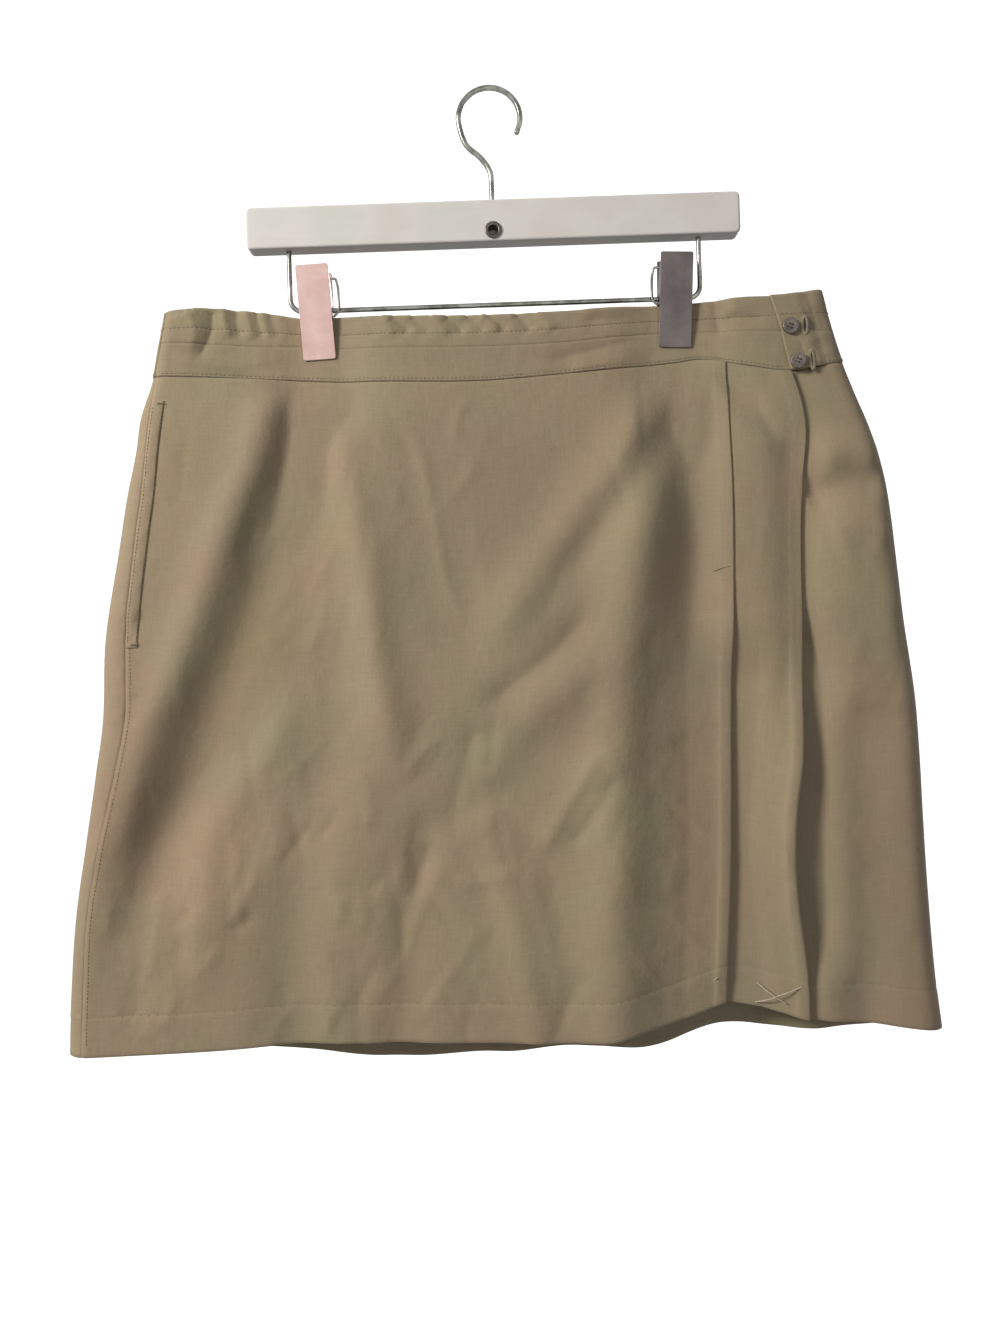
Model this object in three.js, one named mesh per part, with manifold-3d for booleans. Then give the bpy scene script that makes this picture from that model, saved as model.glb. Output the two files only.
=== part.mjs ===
// Pleated skort hung by its waistband from a flat wooden clip hanger.
// Millimetres, +Z up, the wearer's front faces -Y. The origin is the inside top of the hook.

import * as THREE from 'three';
import { mergeVertices } from 'three/addons/utils/BufferGeometryUtils.js';
import Module from 'manifold-3d';

const wasm = await Module();
wasm.setup();

// ---- driving dimensions ------------------------------------------------------------------------

const GAP = 0.3;                    // between pieces that touch
const SEAM_HALF = 0.3;              // half the gap at an upright seam, where the cloth turns
const SEAM_DROP = 0.8;              // from the waistband's lower edge to the panels' tops
const CLOTH = 1.0;                  // skirt and shorts wall
const BAND = 2.0;                   // waistband wall, cloth doubled over
const FOLD_PITCH = 1.6;             // from layer to layer inside a knife pleat
const PLEAT_DEPTH = 16;             // how far a pleat tucks back under its edge
const STITCH_END = 350;             // drop at which both pleats are released
const PRESSED = 1.25;               // half the pressed stack of front and back under a jaw

// Drops of the hung garment's main levels.
const LEVEL = { bandTop: 156, bandMiddle: 180, seam: 205, hem: 672, belowHem: 685 };

const BAR = { long: 350, high: 29.5, thick: 15, bottom: -110, corner: 4, edge: 1.6 };
const EYELET = { drop: 102.5, flange: 6, hole: 3.3, tube: 3.9, proud: 1.0, deep: 9, short: 1.5 };
const HOOK = { wire: 2, bend: 22, sunk: 14 };
const RAIL = { wire: 1.75, half: 146, drop: 153, bend: 8.5, sunk: 8 };
const CLIP = { wide: 23, high: 66, top: -122.6, sheet: 1.2, corner: 1.2, edge: 0.3, grip: 2.5, flare: 9,
  lean: 2.4, atTop: 129, atBottom: 126.5, play: 1.2 };
const CHEEK = { top: -128, bottom: -157.2, back: 4.4, slope: 15, sheet: 1.2, inFront: 0.7, inBack: 2.4 };
const SPRING = { inner: 2.6, outer: 4.1, half: 5.5 };
const LOOP_WIRE = 0.9;
const BUTTON = { radius: 5.7, thick: 2.4, dish: 0.5, rimIn: 2.2, rimOut: 1.4, round: 0.9, holes: 0.75,
  holeAt: 1.75, turned: 0.3 };

// Outline of the hung skirt. "drop" is the depth below the hook; the rest are sideways places of the
// two silhouettes, the pocket side seam, the pleat's edge and the wrap's edge.
const SECTIONS = [
  { drop: 150, left: -235.0, right: 231.5, seam: -232.5, pleat: 160.0, wrap: 192.0 },
  { drop: 175, left: -240.5, right: 237.0, seam: -237.0, pleat: 160.3, wrap: 199.5 },
  { drop: 200, left: -246.0, right: 244.0, seam: -242.0, pleat: 160.6, wrap: 205.0 },
  { drop: 226, left: -255.0, right: 253.0, seam: -245.5, pleat: 161.0, wrap: 211.5 },
  { drop: 250, left: -259.0, right: 262.0, seam: -248.5, pleat: 161.0, wrap: 214.5 },
  { drop: 283, left: -266.5, right: 271.0, seam: -252.0, pleat: 161.0, wrap: 211.5 },
  { drop: 318, left: -273.0, right: 275.5, seam: -257.5, pleat: 160.4, wrap: 208.5 },
  { drop: 382, left: -285.0, right: 281.0, seam: -266.0, pleat: 158.5, wrap: 207.0 },
  { drop: 440, left: -289.0, right: 287.5, seam: -268.0, pleat: 156.5, wrap: 205.5 },
  { drop: 482, left: -296.0, right: 289.5, seam: -277.0, pleat: 155.0, wrap: 203.5 },
  { drop: 530, left: -304.5, right: 290.5, seam: -289.5, pleat: 153.5, wrap: 197.0 },
  { drop: 580, left: -313.0, right: 292.0, seam: -300.0, pleat: 151.5, wrap: 196.0 },
  { drop: 638, left: -318.5, right: 295.0, seam: -305.0, pleat: 147.5, wrap: 201.0 },
  { drop: 680, left: -321.0, right: 299.0, seam: -307.5, pleat: 144.5, wrap: 201.5 },
];

// Level edges: the waistband's top, the seam between its two bands, and the seam to the skirt.
const WAIST = [
  { across: -245, top: 152.5, middle: 173.5, seam: 197.0 },
  { across: -209, top: 151.0, middle: 175.7, seam: 199.0 },
  { across: -167, top: 154.6, middle: 178.6, seam: 201.5 },
  { across: -138, top: 159.1, middle: 179.0, seam: 203.0 },
  { across: -107, top: 159.5, middle: 181.5, seam: 205.0 },
  { across: -18, top: 162.4, middle: 184.5, seam: 208.5 },
  { across: 45, top: 162.0, middle: 183.6, seam: 205.7 },
  { across: 102, top: 159.4, middle: 179.0, seam: 201.2 },
  { across: 126, top: 158.5, middle: 178.0, seam: 199.0 },
  { across: 146, top: 157.7, middle: 178.6, seam: 197.4 },
  { across: 174, top: 156.2, middle: 180.0, seam: 203.5 },
  { across: 206, top: 155.8, middle: 181.2, seam: 209.0 },
  { across: 245, top: 149.5, middle: 182.5, seam: 203.0 },
];

// Hems, front and back.
const HEM = [
  { across: -321, front: 673.7, back: 673.7 },
  { across: -225, front: 672.0, back: 678.0 },
  { across: -154, front: 669.5, back: 683.8 },
  { across: -96, front: 670.5, back: 692.0 },
  { across: -20, front: 672.6, back: 689.5 },
  { across: 55, front: 674.0, back: 689.5 },
  { across: 90, front: 668.3, back: 691.0 },
  { across: 122, front: 660.5, back: 680.5 },
  { across: 148, front: 652.8, back: 675.0 },
  { across: 182, front: 660.0, back: 678.0 },
  { across: 202, front: 664.8, back: 679.5 },
  { across: 250, front: 670.2, back: 679.8 },
  { across: 299, front: 676.7, back: 676.7 },
];

// Folds of the hung cloth. "run" is the crest's or the trough's line as [across, drop], "rise" is its
// height (a trough is below zero) and "half" is its half width; "fade" is given where it is not FADE.
const FRONT_FOLDS = [
  { name: 'left clip ridge', rise: 6, half: 15, fade: [0.08, 0.2],
    run: [[-150, 190], [-172, 260], [-196, 315], [-216, 370], [-234, 410],
      [-253, 450], [-280, 540], [-314, 660]] },
  { name: 'left clip trough', rise: -9, half: 19, fade: [0.08, 0.2],
    run: [[-122, 190], [-142, 260], [-163, 320], [-186, 380], [-208, 430],
      [-228, 480], [-252, 540], [-290, 660]] },
  { name: 'wide left hollow', rise: -7, half: 36,
    run: [[-118, 195], [-130, 260], [-138, 320], [-143, 370], [-160, 420],
      [-186, 460], [-208, 500], [-238, 540], [-280, 620]] },
  { name: 'left centre ridge', rise: 5, half: 14,
    run: [[-120, 211], [-108, 280], [-97, 340], [-92, 400], [-84, 450], [-74, 500]] },
  { name: 'low left ridge', rise: 4, half: 15,
    run: [[-150, 400], [-165, 455], [-192, 492], [-214, 525], [-216, 575], [-216, 640]] },
  { name: 'short trough', rise: -5, half: 22,
    run: [[-120, 365], [-120, 420], [-128, 470], [-142, 510], [-157, 600], [-157, 690]] },
  { name: 'middle hollow', rise: -3, half: 28, run: [[-65, 225], [-50, 320], [-20, 430]] },
  { name: 'right clip ridge', rise: 4.5, half: 17,
    run: [[120, 200], [100, 240], [78, 274], [50, 308], [23, 344], [-4, 380], [-20, 404]] },
  { name: 'right clip crease', rise: -1.8, half: 12,
    run: [[126, 236], [105, 264], [88, 288], [70, 312], [50, 338], [30, 362]] },
  { name: 'second ridge', rise: 2.5, half: 16,
    run: [[66, 400], [40, 425], [12, 450], [-14, 478], [-30, 505]] },
  { name: 'right crest', rise: 9, half: 22,
    run: [[112, 245], [100, 305], [90, 350], [82, 400], [76, 450], [70, 545], [66, 640], [66, 690]] },
  { name: 'right trough', rise: -9, half: 21, run: [[138, 205], [135, 290], [134, 360], [136, 430]] },
  { name: 'low right trough', rise: -12, half: 46, fade: [0.25, 0.2],
    run: [[150, 380], [151, 450], [152, 560], [152, 690]] },
  { name: 'lower middle trough', rise: -3.5, half: 16, run: [[-62, 500], [-70, 570], [-88, 690]] },
  { name: 'lower middle ridge', rise: 3.5, half: 14, run: [[-20, 500], [-5, 560], [15, 690]] },
  { name: 'wrap drag', rise: -3.5, half: 7, run: [[150, 200], [166, 218], [182, 238], [198, 262]] },
  { name: 'wrap hang', rise: -6.5, half: 18,
    run: [[207, 222], [208, 290], [207, 360], [205, 420], [202, 500]] },
  { name: 'side drag ridge', rise: 2.5, half: 12, run: [[222, 262], [245, 256], [268, 262]] },
  { name: 'side drag trough', rise: -3, half: 12, run: [[214, 296], [240, 286], [272, 286]] },
  { name: 'low side hollow', rise: -6, half: 19, run: [[243, 430], [246, 510], [247, 600], [243, 690]] },
];
const WRAP_HOLLOW = { rise: -11, half: 17,
  run: [[212, 370], [210, 460], [209, 530], [209, 590], [211, 648]] };
const BACK_FOLDS = [
  { name: 'left clip trough', rise: -8.0, half: 18,
    run: [[-122, 208], [-150, 300], [-186, 410], [-214, 520], [-232, 690]] },
  { name: 'left clip ridge', rise: 5.5, half: 17,
    run: [[-146, 215], [-190, 310], [-232, 430], [-262, 560]] },
  { name: 'right clip trough', rise: -8.0, half: 18,
    run: [[122, 208], [146, 300], [176, 410], [198, 520], [212, 690]] },
  { name: 'right clip ridge', rise: 5.5, half: 16, run: [[144, 215], [184, 300], [222, 430], [246, 600]] },
  { name: 'centre drag', rise: -4.0, half: 13, run: [[-108, 225], [-72, 320], [-46, 420], [-40, 500]] },
  { name: 'centre ridge', rise: 4.5, half: 18, run: [[96, 240], [58, 340], [40, 460], [34, 690]] },
  { name: 'low trough', rise: -5.0, half: 17, run: [[-30, 420], [-12, 530], [-6, 690]] },
  { name: 'low left ridge', rise: 4.5, half: 18, run: [[-110, 430], [-96, 540], [-92, 690]] },
  { name: 'low right trough', rise: -4.5, half: 16, run: [[92, 460], [104, 560], [112, 690]] },
];

// How far each layer stands from the middle plane, at a few drops: "open" between the clips and
// "shut" where the jaws press front and back together. "turn" is how far in the sides round over.
const DEPTHS = [
  { drop: 150, open: 6.5, shut: 1.25, turn: 10 },
  { drop: 190, open: 7.5, shut: 1.25, turn: 11 },
  { drop: 205, open: 8.5, shut: 2.8, turn: 12 },
  { drop: 260, open: 14.0, shut: 11.5, turn: 14 },
  { drop: 340, open: 17.0, shut: 17.0, turn: 17 },
  { drop: 690, open: 18.0, shut: 18.0, turn: 19 },
];
const CLIP_FLAT = 12;               // half width that is pressed quite flat
const CLIP_REACH = 24;              // sideways reach of the pinch beyond that
const BACK_SHARE = 0.9;             // the back stands a little less far out than the front
const LEAST_DEPTH = 5.4;            // keeps the folded cloth clear of the shorts
const LEAST_UNDER = 6.7;            // and so does this, for the side panel where it passes under the wrap
const FREE = { from: 190, over: 40 };  // the folds grow over this stretch round the waist seam
const FADE = [0.2, 0.25];           // shares of a fold's line over which it rises and dies away

const SHORTS = { top: 1.0, crotch: 488, hem: 612, middle: -8, waistHalf: 222, hemHalf: 262, inseam: 4,
  gusset: 13, crotchRound: 26, crotchRise: 68, legsOver: 60, open: 3.4, shut: 0.66 };
const POCKET = { top: 216, bottom: 389, wide: 8, clear: 0.4 };

// ---- small tools -------------------------------------------------------------------------------

const mix = (a, b, share) => a + (b - a) * share;
const clamp = (value, low, high) => Math.min(high, Math.max(low, value));
const soften = (value) => { const t = clamp(value, 0, 1); return t * t * (3 - 2 * t); };
const range = (count) => Array.from({ length: count }, (unused, i) => i);
const bell = (distance, half) => Math.exp(-((distance / half) ** 2));
const even = (from, to, count) => range(count).map((i) => mix(from, to, i / (count - 1)));

// A column of a table at a place between its rows, on a smooth curve through them.
function reading(table, key, column, at) {
  const last = table.length - 1;
  const place = clamp(at, table[0][key], table[last][key]);
  let i = 0;
  while (i < last - 1 && table[i + 1][key] < place) i += 1;
  const slope = (k) => {
    const a = table[Math.max(k - 1, 0)];
    const b = table[Math.min(k + 1, last)];
    return (b[column] - a[column]) / (b[key] - a[key]);
  };
  const [low, high] = [table[i], table[i + 1]];
  const step = high[key] - low[key];
  const t = (place - low[key]) / step;
  return low[column] * (1 + 2 * t) * (1 - t) ** 2 + slope(i) * step * t * (1 - t) ** 2
    + high[column] * t * t * (3 - 2 * t) - slope(i + 1) * step * t * t * (1 - t);
}
const section = (column, drop) => reading(SECTIONS, 'drop', column, drop);
const waist = (column, across) => reading(WAIST, 'across', column, across);
const hem = (column, across) => reading(HEM, 'across', column, across);

// Each fold's line, smoothed once.
const traced = (fold) => {
  const curve = new THREE.CatmullRomCurve3(fold.run.map(([x, drop]) => new THREE.Vector3(x, drop, 0)));
  return { ...fold, line: curve.getPoints(fold.run.length * 5) };
};
// Height that a fold gives at a place: a soft bump across its line that fades at both ends.
function bump(fold, x, drop) {
  let nearest = Infinity;
  let share = 0;
  const { line } = fold;
  for (let i = 0; i < line.length - 1; i += 1) {
    const dx = line[i + 1].x - line[i].x;
    const dz = line[i + 1].y - line[i].y;
    const t = clamp(((x - line[i].x) * dx + (drop - line[i].y) * dz) / (dx * dx + dz * dz), 0, 1);
    const distance = Math.hypot(x - line[i].x - t * dx, drop - line[i].y - t * dz);
    if (distance < nearest) {
      nearest = distance;
      share = (i + t) / (line.length - 1);
    }
  }
  const goesOn = line[line.length - 1].y > LEVEL.belowHem;
  const [fadeIn, fadeOut] = fold.fade ?? FADE;
  const fade = soften(share / fadeIn) * (goesOn ? 1 : soften((1 - share) / fadeOut));
  return fold.rise * fade * bell(nearest, fold.half);
}
const FRONT = FRONT_FOLDS.map(traced);
const BACK = BACK_FOLDS.map(traced);
const HOLLOW = traced(WRAP_HOLLOW);

// How far the jaws press front and back together at a sideways place: 1 under a clip, 0 far from both.
const pinched = (x) => bell(Math.max(Math.abs(Math.abs(x) - CLIP.atBottom) - CLIP_FLAT, 0), CLIP_REACH);

// Distance of the cloth's middle from the middle plane, front or back, before layers are added.
function depth(folds, x, drop) {
  const open = reading(DEPTHS, 'drop', 'open', drop);
  const shut = reading(DEPTHS, 'drop', 'shut', drop);
  const pinch = pinched(x);
  const free = soften((drop - FREE.from) / FREE.over);
  const folded = folds.reduce((sum, fold) => sum + bump(fold, x, drop), 0) * free;
  return Math.max(mix(open, shut, pinch) + folded, mix(PRESSED, LEAST_DEPTH, free));
}
// Roundness at the two side folds: 0 on the silhouette, 1 where the cloth has turned to the front.
function rounding(x, drop) {
  const turn = reading(DEPTHS, 'drop', 'turn', drop);
  const inward = Math.min(x - section('left', drop), section('right', drop) - x);
  return Math.sqrt(1 - (1 - clamp(inward / turn, 0, 1)) ** 2);
}
const frontY = (x, drop) => -depth(FRONT, x, drop) * rounding(x, drop);
const backY = (x, drop) => depth(BACK, x, drop) * BACK_SHARE * rounding(x, drop);
const wrapSide = (x, drop) =>
  Math.min(frontY(x, drop) - bump(HOLLOW, x, drop), -LEAST_UNDER * rounding(x, drop));

// Way out of the cloth at one point of a grid, one unit long.
function outward(grid, i, j) {
  const at = (row, column) => grid[clamp(row, 0, grid.length - 1)][clamp(column, 0, grid[0].length - 1)];
  const down = at(i + 1, j).clone().sub(at(i - 1, j));
  const along = at(i, j + 1).clone().sub(at(i, j - 1));
  return down.cross(along).normalize();
}

// Whether a cell of the grid lies smoother when split from its upper left to its lower right corner.
function splitsDown(grid, i, j) {
  const [a, b, c, d] = [grid[i][j], grid[i + 1][j], grid[i + 1][j + 1], grid[i][j + 1]];
  const normal = (p, q, r) => q.clone().sub(p).cross(r.clone().sub(p)).normalize();
  return normal(a, b, c).dot(normal(a, c, d)) >= normal(a, b, d).dot(normal(b, c, d));
}

// Closed wall of even thickness round a grid of points on its middle surface.
function wall(grid, thickness) {
  const rows = grid.length;
  const columns = grid[0].length;
  const moved = (by) => grid.flatMap((row, i) =>
    row.map((point, j) => outward(grid, i, j).multiplyScalar(by).add(point)));
  const sides = [moved(thickness / 2), moved(-thickness / 2)];
  const positions = sides.flat().flatMap((p) => [p.x, p.y, p.z]);
  const index = [];
  const id = (side, i, j) => side * rows * columns + i * columns + j;
  const quad = (a, b, c, d) => index.push(a, b, c, a, c, d);
  for (let i = 0; i < rows - 1; i += 1) {
    for (let j = 0; j < columns - 1; j += 1) {
      const [a, b, c, d] = [[i, j], [i + 1, j], [i + 1, j + 1], [i, j + 1]];
      const corners = splitsDown(grid, i, j) ? [a, b, c, d] : [b, c, d, a];
      const face = (side) => corners.map(([row, column]) => id(side, row, column));
      quad(...face(0));
      quad(...face(1).map((unused, k, all) => all[(4 - k) % 4]));
    }
  }
  for (let i = 0; i < rows - 1; i += 1) {
    const end = columns - 1;
    quad(id(0, i, 0), id(1, i, 0), id(1, i + 1, 0), id(0, i + 1, 0));
    quad(id(0, i, end), id(0, i + 1, end), id(1, i + 1, end), id(1, i, end));
  }
  for (let j = 0; j < columns - 1; j += 1) {
    const end = rows - 1;
    quad(id(0, 0, j), id(0, 0, j + 1), id(1, 0, j + 1), id(1, 0, j));
    quad(id(0, end, j), id(1, end, j), id(1, end, j + 1), id(0, end, j + 1));
  }
  const geometry = new THREE.BufferGeometry();
  geometry.setAttribute('position', new THREE.Float32BufferAttribute(positions, 3));
  geometry.setIndex(index);
  geometry.computeVertexNormals();
  return geometry;
}

// Joins and cuts.
function solid(geometry) {
  const bare = geometry.clone();
  bare.deleteAttribute('normal');
  bare.deleteAttribute('uv');
  const merged = mergeVertices(bare, 1e-4);
  const vertProperties = new Float32Array(merged.attributes.position.array);
  const triVerts = new Uint32Array(merged.index.array);
  return new wasm.Manifold(new wasm.Mesh({ numProp: 3, vertProperties, triVerts }));
}
function surface(body) {
  const mesh = body.getMesh();
  const geometry = new THREE.BufferGeometry();
  geometry.setAttribute('position', new THREE.BufferAttribute(new Float32Array(mesh.vertProperties), 3));
  geometry.setIndex(new THREE.BufferAttribute(new Uint32Array(mesh.triVerts), 1));
  geometry.computeVertexNormals();
  return geometry;
}
const upright = (radius, height, sides) =>
  new THREE.CylinderGeometry(radius, radius, height, sides).rotateX(Math.PI / 2);
function wire(points, radius, steps, sides = 8) {
  const ring = new THREE.Shape();
  range(sides).forEach((i) => {
    const turn = (i / sides) * 2 * Math.PI;
    const [x, y] = [radius * Math.cos(turn), radius * Math.sin(turn)];
    if (i === 0) ring.moveTo(x, y); else ring.lineTo(x, y);
  });
  ring.closePath();
  const extrudePath = new THREE.CatmullRomCurve3(points, false, 'centripetal');
  return new THREE.ExtrudeGeometry(ring, { steps, extrudePath, bevelEnabled: false });
}
const arc = (x, z, radius, from, to, count) => even(from, to, count).map((degrees) => {
  const turn = THREE.MathUtils.degToRad(degrees);
  return new THREE.Vector3(x + radius * Math.cos(turn), 0, z + radius * Math.sin(turn));
});
function roundedPlate(wide, high, corner) {
  const [x, y] = [wide / 2, high / 2];
  const shape = new THREE.Shape();
  shape.moveTo(-x + corner, -y);
  shape.lineTo(x - corner, -y).absarc(x - corner, -y + corner, corner, -Math.PI / 2, 0);
  shape.lineTo(x, y - corner).absarc(x - corner, y - corner, corner, 0, Math.PI / 2);
  shape.lineTo(-x + corner, y).absarc(-x + corner, y - corner, corner, Math.PI / 2, Math.PI);
  shape.lineTo(-x, -y + corner).absarc(-x + corner, -y + corner, corner, Math.PI, 1.5 * Math.PI);
  return shape;
}

// ---- finishes ----------------------------------------------------------------------------------

const finish = (color, roughness, metalness = 0) =>
  () => new THREE.MeshStandardMaterial({ color, roughness, metalness });
const khaki = finish(0x8f8060, 0.78);
const khakiShade = finish(0x867656, 0.8);
const paint = finish(0xd6d4ca, 0.5);
const steel = finish(0x6f706b, 0.35, 0.9);
const bronze = finish(0x3b332d, 0.45, 0.7);
const roseMetal = finish(0xd9b7b2, 0.35, 0.6);
const taupeMetal = finish(0x5f5553, 0.4, 0.6);
const horn = finish(0x54432f, 0.35);

const group = new THREE.Group();
function add(name, geometry, material) {
  const mesh = new THREE.Mesh(geometry, material());
  mesh.name = name;
  group.add(mesh);
  return mesh;
}

// ---- skirt panels ------------------------------------------------------------------------------

// Drops of one column of a panel, from the waist seam to its hem.
const panelDrop = (x, share, edge) => mix(waist('seam', x) + SEAM_DROP, hem(edge, x), share);
const PANEL_LEVELS = 22;
const FRONT_COLUMNS = 33;
const BACK_COLUMNS = 24;
const nominalDrop = (share) => mix(LEVEL.seam, LEVEL.hem, share);

// Path of one level of a knife pleat, as [across, lift] pairs: up a slope to the edge, round it, back
// under by the pleat's depth and, for a pleat that goes on, round again and out along the lowest layer.
const SLOPE = { start: 15, middle: 8, top: 1.5, half: 0.45 };
const EDGE_FLAT = 7;                // flat stretch before a pleat's edge
const UNDER_SHORT = 4;              // a cut layer ends this much short of the pleat's depth
const TURN_BACK = 0.8;              // the inner turn's radius
function tucked(edge, spread, goesOn) {
  const high = 2 * FOLD_PITCH + spread;
  const round = (FOLD_PITCH + spread) / 2;
  const inner = edge - PLEAT_DEPTH;
  const path = [
    [inner - SLOPE.start, 0], [inner - SLOPE.middle, high * SLOPE.half],
    [inner - SLOPE.top, high], [edge - EDGE_FLAT, high],
  ];
  even(90, -90, 5).forEach((degrees) => {
    const turn = THREE.MathUtils.degToRad(degrees);
    path.push([edge - round * (1 - Math.cos(turn)), FOLD_PITCH + round + round * Math.sin(turn)]);
  });
  path.push([inner + (goesOn ? TURN_BACK : UNDER_SHORT), FOLD_PITCH]);
  if (goesOn) path.push([inner, FOLD_PITCH / 2], [inner + TURN_BACK, 0], [edge + 2, 0]);
  return path;
}
// How far a released pleat gapes: nothing while it is stitched, most at "fullest", less at the hem.
const PLEAT_GAPE = { most: 2.5, fullest: 640 };
const WRAP_GAPE = { most: 5, fullest: 560 };
const HEM_CLOSES = 0.75;
const spreadAt = (drop, { most, fullest }) => most * soften((drop - STITCH_END) / (fullest - STITCH_END))
  * (1 - HEM_CLOSES * soften((drop - fullest) / (LEVEL.hem - fullest)));

function frontPanel() {
  return even(0, 1, PANEL_LEVELS).map((share) => {
    const drop = nominalDrop(share);
    const pleat = section('pleat', drop);
    const wrap = section('wrap', drop);
    const start = section('seam', drop) + SEAM_HALF;
    const strip = [start, start + POCKET.wide / 2].map((x) => [x, 0]);
    const plainEnd = pleat - PLEAT_DEPTH - SLOPE.start - EDGE_FLAT;
    const plain = even(start + POCKET.wide, plainEnd, FRONT_COLUMNS).map((x) => [x, 0]);
    const folded = tucked(pleat, spreadAt(drop, PLEAT_GAPE), true);
    const edge = tucked(wrap, spreadAt(drop, WRAP_GAPE), false);
    return [...strip, ...plain, ...folded, ...edge].map(([x, lift]) => {
      const z = panelDrop(x, share, 'front');
      return new THREE.Vector3(x, frontY(x, z) - lift, -z);
    });
  });
}

// Half turn round a side fold: [across, side, sine] from the front at "from" degrees to the back.
const sideTurn = (column, drop, from, to, count) => {
  const turn = reading(DEPTHS, 'drop', 'turn', drop);
  const inward = column === 'left' ? 1 : -1;
  return even(from, to, count).map((degrees) => {
    const angle = THREE.MathUtils.degToRad(degrees);
    return [section(column, drop) + inward * turn * (1 - Math.cos(angle)), Math.sign(angle)];
  });
};
// Angle on the side fold at which a place this far inside the silhouette lies.
const turnAngle = (inward, drop) => {
  const turn = reading(DEPTHS, 'drop', 'turn', drop);
  return THREE.MathUtils.radToDeg(Math.acos(1 - clamp(inward / turn, 0, 1)));
};
// The strip of the back that comes round to the pocket side's seam, from that seam to the silhouette.
const seamStrip = (drop, clear, count) => {
  const inward = section('seam', drop) + clear - section('left', drop);
  const first = turnAngle(inward, drop);
  const whole = 1 - Math.cos(THREE.MathUtils.degToRad(first));
  return even(first, 0, count).map((degrees) => {
    const gone = 1 - Math.cos(THREE.MathUtils.degToRad(degrees));
    return [section('left', drop) + (inward * gone) / whole, -1];
  });
};
const BACK_SEAM_INSET = 7;          // the far side seam lies this far round the back
const UNDER_CLEAR = 1.2;            // the side panel falls back this much more under the wrap
const UNDER_END = { from: 6, over: 14 };  // and comes forward again past the wrap's edge

function sidePanel() {
  return even(0, 1, PANEL_LEVELS).map((share) => {
    const drop = nominalDrop(share);
    const turn = reading(DEPTHS, 'drop', 'turn', drop);
    const begin = section('wrap', drop) - PLEAT_DEPTH - 2;
    const flat = even(begin, section('right', drop) - turn, 11).map((x) => [x, -1]);
    const last = turnAngle(BACK_SEAM_INSET, drop);
    const round = sideTurn('right', drop, -65, 0, 4);
    const behind = sideTurn('right', drop, last / 2, last, 2);
    return [...flat, ...round, ...behind].map(([x, side]) => {
      const z = panelDrop(x, share, side > 0 ? 'back' : 'front');
      const under = UNDER_CLEAR * (1 - soften((x - begin - PLEAT_DEPTH - UNDER_END.from) / UNDER_END.over));
      return new THREE.Vector3(x, side > 0 ? backY(x, z) : wrapSide(x, z) + under, -z);
    });
  });
}

function backPanel() {
  return even(0, 1, PANEL_LEVELS).map((share) => {
    const drop = nominalDrop(share);
    const turn = reading(DEPTHS, 'drop', 'turn', drop);
    const last = turnAngle(BACK_SEAM_INSET + 2 * SEAM_HALF, drop);
    const path = [
      ...seamStrip(drop, -SEAM_HALF, 4), ...sideTurn('left', drop, 30, 60, 2),
      ...even(section('left', drop) + turn, section('right', drop) - turn, BACK_COLUMNS).map((x) => [x, 1]),
      ...sideTurn('right', drop, mix(90, last, 0.5), last, 2),
    ];
    return path.map(([x, side]) => {
      const z = panelDrop(x, share, side < 0 ? 'front' : 'back');
      return new THREE.Vector3(x, side < 0 ? frontY(x, z) : backY(x, z), -z);
    });
  });
}

// ---- waistband ---------------------------------------------------------------------------------

const BAND_SEAM_HALF = 0.7;         // half the gap at the band's upright seam
const TAB_LIFT = BAND + 0.5;        // the tab lies over the end of the front band
const TAB_UNDER = 14;               // the front band runs on this far under the tab
const TAB_FALL = { from: 2, over: 10 };  // past that end the tab falls back to the band's own level
const bandDrop = (x, share, upper) => (upper
  ? mix(waist('top', x), waist('middle', x) - GAP / 2, share)
  : mix(waist('middle', x) + GAP / 2, waist('seam', x), share));

const bandLevels = (upper) => even(0, 1, 3).map((share) => ({
  share,
  drop: upper ? mix(LEVEL.bandTop, LEVEL.bandMiddle, share) : mix(LEVEL.bandMiddle, LEVEL.seam, share),
}));

// Front and back bands are in three stretches, which meet just inside the clips.
const STRETCHES = ['left', 'middle', 'right'];
const BAND_SPLIT = 84;
const SPLIT_HALF = GAP / 2;
const ends = (from, to) => ({
  left: [from, -BAND_SPLIT - SPLIT_HALF],
  middle: [-BAND_SPLIT + SPLIT_HALF, BAND_SPLIT - SPLIT_HALF],
  right: [BAND_SPLIT + SPLIT_HALF, to],
});

function bandFront(upper, stretch) {
  return bandLevels(upper).map(({ share, drop }) => {
    const whole = ends(section('seam', drop) + BAND_SEAM_HALF, section('wrap', drop) + TAB_UNDER);
    return even(...whole[stretch], 14).map((x) => {
      const z = bandDrop(x, share, upper);
      return new THREE.Vector3(x, frontY(x, z), -z);
    });
  });
}
function bandTab(upper) {
  return bandLevels(upper).map(({ share, drop }) => {
    const wrap = section('wrap', drop);
    const turn = reading(DEPTHS, 'drop', 'turn', drop);
    const last = turnAngle(BACK_SEAM_INSET, drop);
    const path = [
      ...even(wrap, section('right', drop) - turn, 6).map((x) => [x, -1]),
      ...sideTurn('right', drop, -60, 0, 4), ...sideTurn('right', drop, last / 2, last, 2),
    ];
    return path.map(([x, side]) => {
      const z = bandDrop(x, share, upper);
      const lift = TAB_LIFT * (1 - soften((x - wrap - TAB_UNDER - TAB_FALL.from) / TAB_FALL.over));
      return new THREE.Vector3(x, side > 0 ? backY(x, z) : frontY(x, z) - lift, -z);
    });
  });
}
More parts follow.
